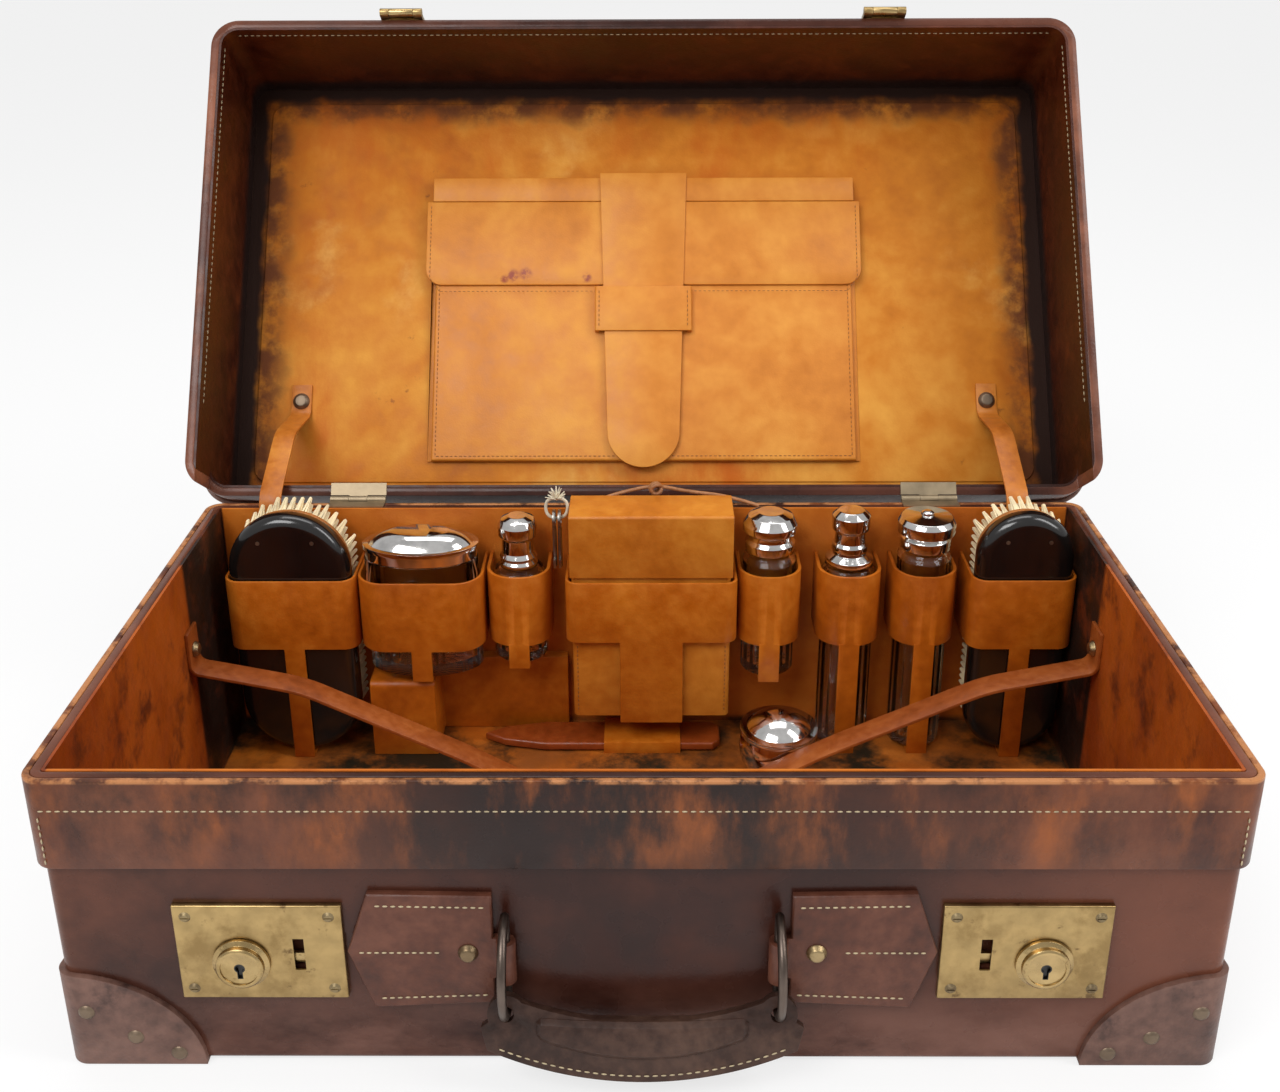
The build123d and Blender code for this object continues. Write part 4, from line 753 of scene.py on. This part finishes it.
# ---- Leather case for razors and small tools: a stiff tan box with a flap over its mouth,
# edges inked and sewn.
case_skin = leather("case_skin", (0.38, 0.100, 0.008), (0.54, 0.165, 0.014), (0.68, 0.26, 0.030),
                    patch=10.0, rough=(0.32, 0.48), relief=0.18, gloss=0.35)
softened("case_body", 0.7 * mm, case_skin, "case")
softened("case_flap", 0.8 * mm, case_skin, "case_flap")
seam_rows = [[(x, 107.3, 38), (x, 107.3, 86)] for x in (-42, 52)]
stitches("case_stitching", seam_rows, 3.0, "case", 0.5 * mm, tan_thread)


# ---- Ball-shaped soap pot of plated brass, turned in two halves with a flared rim between.
softened("pot_lower", 0.3 * mm, plating, "pot")
softened("pot_upper", 0.3 * mm, plating, "pot_lid")


# ---- Luggage straps: two soft brown straps studded to the side walls, sagging to the floor,
# where a small brass buckle joins them.
softened("luggage_straps", 0.5 * mm, strap_hide, "base")
softened("strap_buckle", 0.4 * mm, boss_brass, "base")


# ---- Flat sheath on the floor: dark tan leather, pointed at one end, with a paler band sewn
# round it.
sheath_hide = leather("sheath_hide", (0.16, 0.028, 0.004), (0.27, 0.048, 0.006), (0.38, 0.085, 0.010),
                      patch=16.0, rough=(0.28, 0.46), relief=0.2)
softened("sheath", 0.5 * mm, sheath_hide, "sheath")
softened("sheath_keeper", 0.4 * mm, loop_skin, "sheath")


# ---- Lace, keys and string: a knotted leather lace on the back rim, and two steel keys on a
# loop of frayed cotton.
lace_hide = leather("lace_hide", (0.20, 0.070, 0.025), (0.34, 0.14, 0.05), (0.50, 0.22, 0.09),
                    patch=60.0, rough=(0.4, 0.6))


def strand(name, points, thick, material):
    """A limp strand drawn through a few points, in millimetres, as one smooth line."""
    line = bpy.data.curves.new(name, "CURVE")
    line.dimensions = "3D"
    line.bevel_depth = thick / 2 * mm
    line.bevel_resolution = 3
    line.use_fill_caps = True
    run = line.splines.new("NURBS")
    run.points.add(len(points) - 1)
    for point, place in zip(run.points, points):
        point.co = (*(Vector(place) * mm), 1)
    run.order_u = 3
    run.use_endpoint_u = True
    line.materials.append(material)
    piece = bpy.data.objects.new(name, line)
    bpy.context.scene.collection.objects.link(piece)
    return piece


lace_y, lace_z = 147.0, 165.2
lace_lifts = ((-46, 0.0), (-32, 3.0), (-14, 9.4), (4, 13.6), (12, 13.6), (30, 9.6), (54, 7.0), (74, 0.0))
lace = strand("lace_line", [(x, lace_y, lace_z + lift) for x, lift in lace_lifts], 2.4, lace_hide)
knot_place = Vector((8, 144.5, 178.2)) * mm
unselect()
turns = []
for tilt in (20, 80, 140):
    bpy.ops.mesh.primitive_torus_add(major_radius=3.5 * mm, minor_radius=1.3 * mm, major_segments=24,
                                     minor_segments=8, location=(0, 0, 0))
    turn = bpy.context.object
    turn.data.transform(Matrix.Translation(knot_place)
                        @ Matrix.Rotation(math.radians(tilt), 4, "Y") @ Matrix.Rotation(0.9, 4, "X"))
    turns.append(turn)
lace_knot = merged("lace_knot", turns, lace_hide)
bpy.ops.object.shade_smooth()
for piece in (lace, lace_knot):
    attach(piece, "base")
    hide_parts("lace")

key_steel = plain("key_steel", (0.34, 0.32, 0.29), (0.22, 0.42), 1.0)
softened("keys", 0.25 * mm, key_steel, "key_bunch")
cotton = plain("cotton", (0.84, 0.76, 0.58), (0.8, 0.95))
loop_x, loop_y, loop_z = -54, 124.0, 174
loop_shape = ((-0.8, 6.6), (-5.6, 6.2), (-7.2, 0), (-5.4, -5.6), (0, -7.4), (5.4, -5.6), (7.2, 0),
              (5.6, 6.2), (0.8, 6.6))
string_loop = strand("string_loop", [(loop_x + x, loop_y, loop_z + z) for x, z in loop_shape], 2.0, cotton)
tuft_foot = Vector((loop_x, loop_y, loop_z + 5.8)) * mm
end_count = 22
unselect()
ends = []
for i in range(end_count):
    way = i * 2.4
    lift = 0.25 + 1.15 * ((i * 7) % end_count) / end_count
    bpy.ops.mesh.primitive_cone_add(vertices=5, radius1=0.75 * mm, radius2=0.35 * mm,
                                    depth=(6.5 + 2.5 * math.cos(i)) * mm, location=(0, 0, 4 * mm))
    end = bpy.context.object
    end.data.transform(Matrix.Translation((0, 0, 4 * mm)))
    end.location = (0, 0, 0)
    end.data.transform(Matrix.Translation(tuft_foot)
                       @ Matrix.Rotation(way, 4, "Z") @ Matrix.Rotation(lift, 4, "Y"))
    ends.append(end)
tuft_ends = merged("string_tuft", ends, cotton)
for piece in (string_loop, tuft_ends):
    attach(piece, "key_bunch")
    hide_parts("key_string")


# ---- The floor: a plain pale sheet that shows white to the camera and keeps the shadow under
# the case.
unselect()
bpy.ops.mesh.primitive_plane_add(size=40.0, location=(0, 2.0, -0.0004))
ground = bpy.context.object
ground.name = "ground"
pale = bpy.data.materials.new("pale_floor")
pale.use_nodes = True
n, join = pale.node_tree.nodes, pale.node_tree.links
n["Principled BSDF"].inputs["Base Color"].default_value = (0.94, 0.94, 0.94, 1)
n["Principled BSDF"].inputs["Roughness"].default_value = 0.7
glow = n.new("ShaderNodeEmission")
glow.inputs["Strength"].default_value = 1.0
sight = n.new("ShaderNodeLightPath")
share = joined(pale, "MULTIPLY", sight.outputs["Is Camera Ray"], 0.74)
blend = n.new("ShaderNodeMixShader")
join.new(share, blend.inputs[0])
join.new(n["Principled BSDF"].outputs["BSDF"], blend.inputs[1])
join.new(glow.outputs["Emission"], blend.inputs[2])
join.new(blend.outputs["Shader"], n["Material Output"].inputs["Surface"])
ground.data.materials.append(pale)
ground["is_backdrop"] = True


# ---- Light: a white studio, one broad lamp above the front left, a long one on the right and
# a softer one straight above.
world = bpy.data.worlds.new("studio")
bpy.context.scene.world = world
world.use_nodes = True
n, join = world.node_tree.nodes, world.node_tree.links
sky = n["Background"]
sky.inputs["Color"].default_value = (1, 1, 1, 1)
sight = n.new("ShaderNodeLightPath")
seen = n.new("ShaderNodeMath")
seen.operation = "MAXIMUM"
join.new(sight.outputs["Is Camera Ray"], seen.inputs[0])
join.new(sight.outputs["Is Transmission Ray"], seen.inputs[1])
level = n.new("ShaderNodeMapRange")
level.inputs["To Min"].default_value = 0.55
level.inputs["To Max"].default_value = 1.0
join.new(seen.outputs[0], level.inputs["Value"])
join.new(level.outputs["Result"], sky.inputs["Strength"])
lit_point = Vector((0, 0.05, 0.15))
for name, place, size, power in (("front_lamp", (-0.9, -1.3, 1.9), (1.3, 0.9), 26.0),
                                 ("right_lamp", (1.5, -0.5, 1.5), (0.5, 1.4), 14.0),
                                 ("top_lamp", (0.0, 0.3, 2.2), (1.6, 0.7), 12.0)):
    data = bpy.data.lights.new(name, "AREA")
    data.shape = "RECTANGLE"
    data.size, data.size_y = size
    data.energy = power
    lamp = bpy.data.objects.new(name, data)
    lamp.location = place
    lamp.rotation_euler = (lit_point - Vector(place)).to_track_quat("-Z", "Y").to_euler()
    bpy.context.scene.collection.objects.link(lamp)
bpy.context.scene.view_settings.view_transform = "Standard"


# ---- Camera: above the front rim, looking down into the tray, with a slight drop of the frame.
picture_width, picture_height = 1280, 1092
focal_length, sight_x, sight_y = 1444.9, 638.0, 450.0
turned, tipped_down, rolled = 0.0073, 0.3767, -0.0042
lens = bpy.data.cameras.new("view")
lens.sensor_width = 36.0
lens.lens = focal_length / picture_width * lens.sensor_width
lens.shift_x = (picture_width / 2 - sight_x) / picture_width
lens.shift_y = (sight_y - picture_height / 2) / picture_width
lens.clip_start, lens.clip_end = 0.05, 50
camera = bpy.data.objects.new("view", lens)
turn = (Matrix.Rotation(turned, 3, "Z") @ Matrix.Rotation(math.pi / 2 - tipped_down, 3, "X")
        @ Matrix.Rotation(rolled, 3, "Z"))
front_rim = Vector((0, -0.1555, 0.164))
camera.matrix_world = Matrix.Translation(front_rim + Vector((0.0030, -0.5459, 0.3753))) @ turn.to_4x4()
bpy.context.scene.collection.objects.link(camera)
bpy.context.scene.camera = camera

low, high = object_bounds()
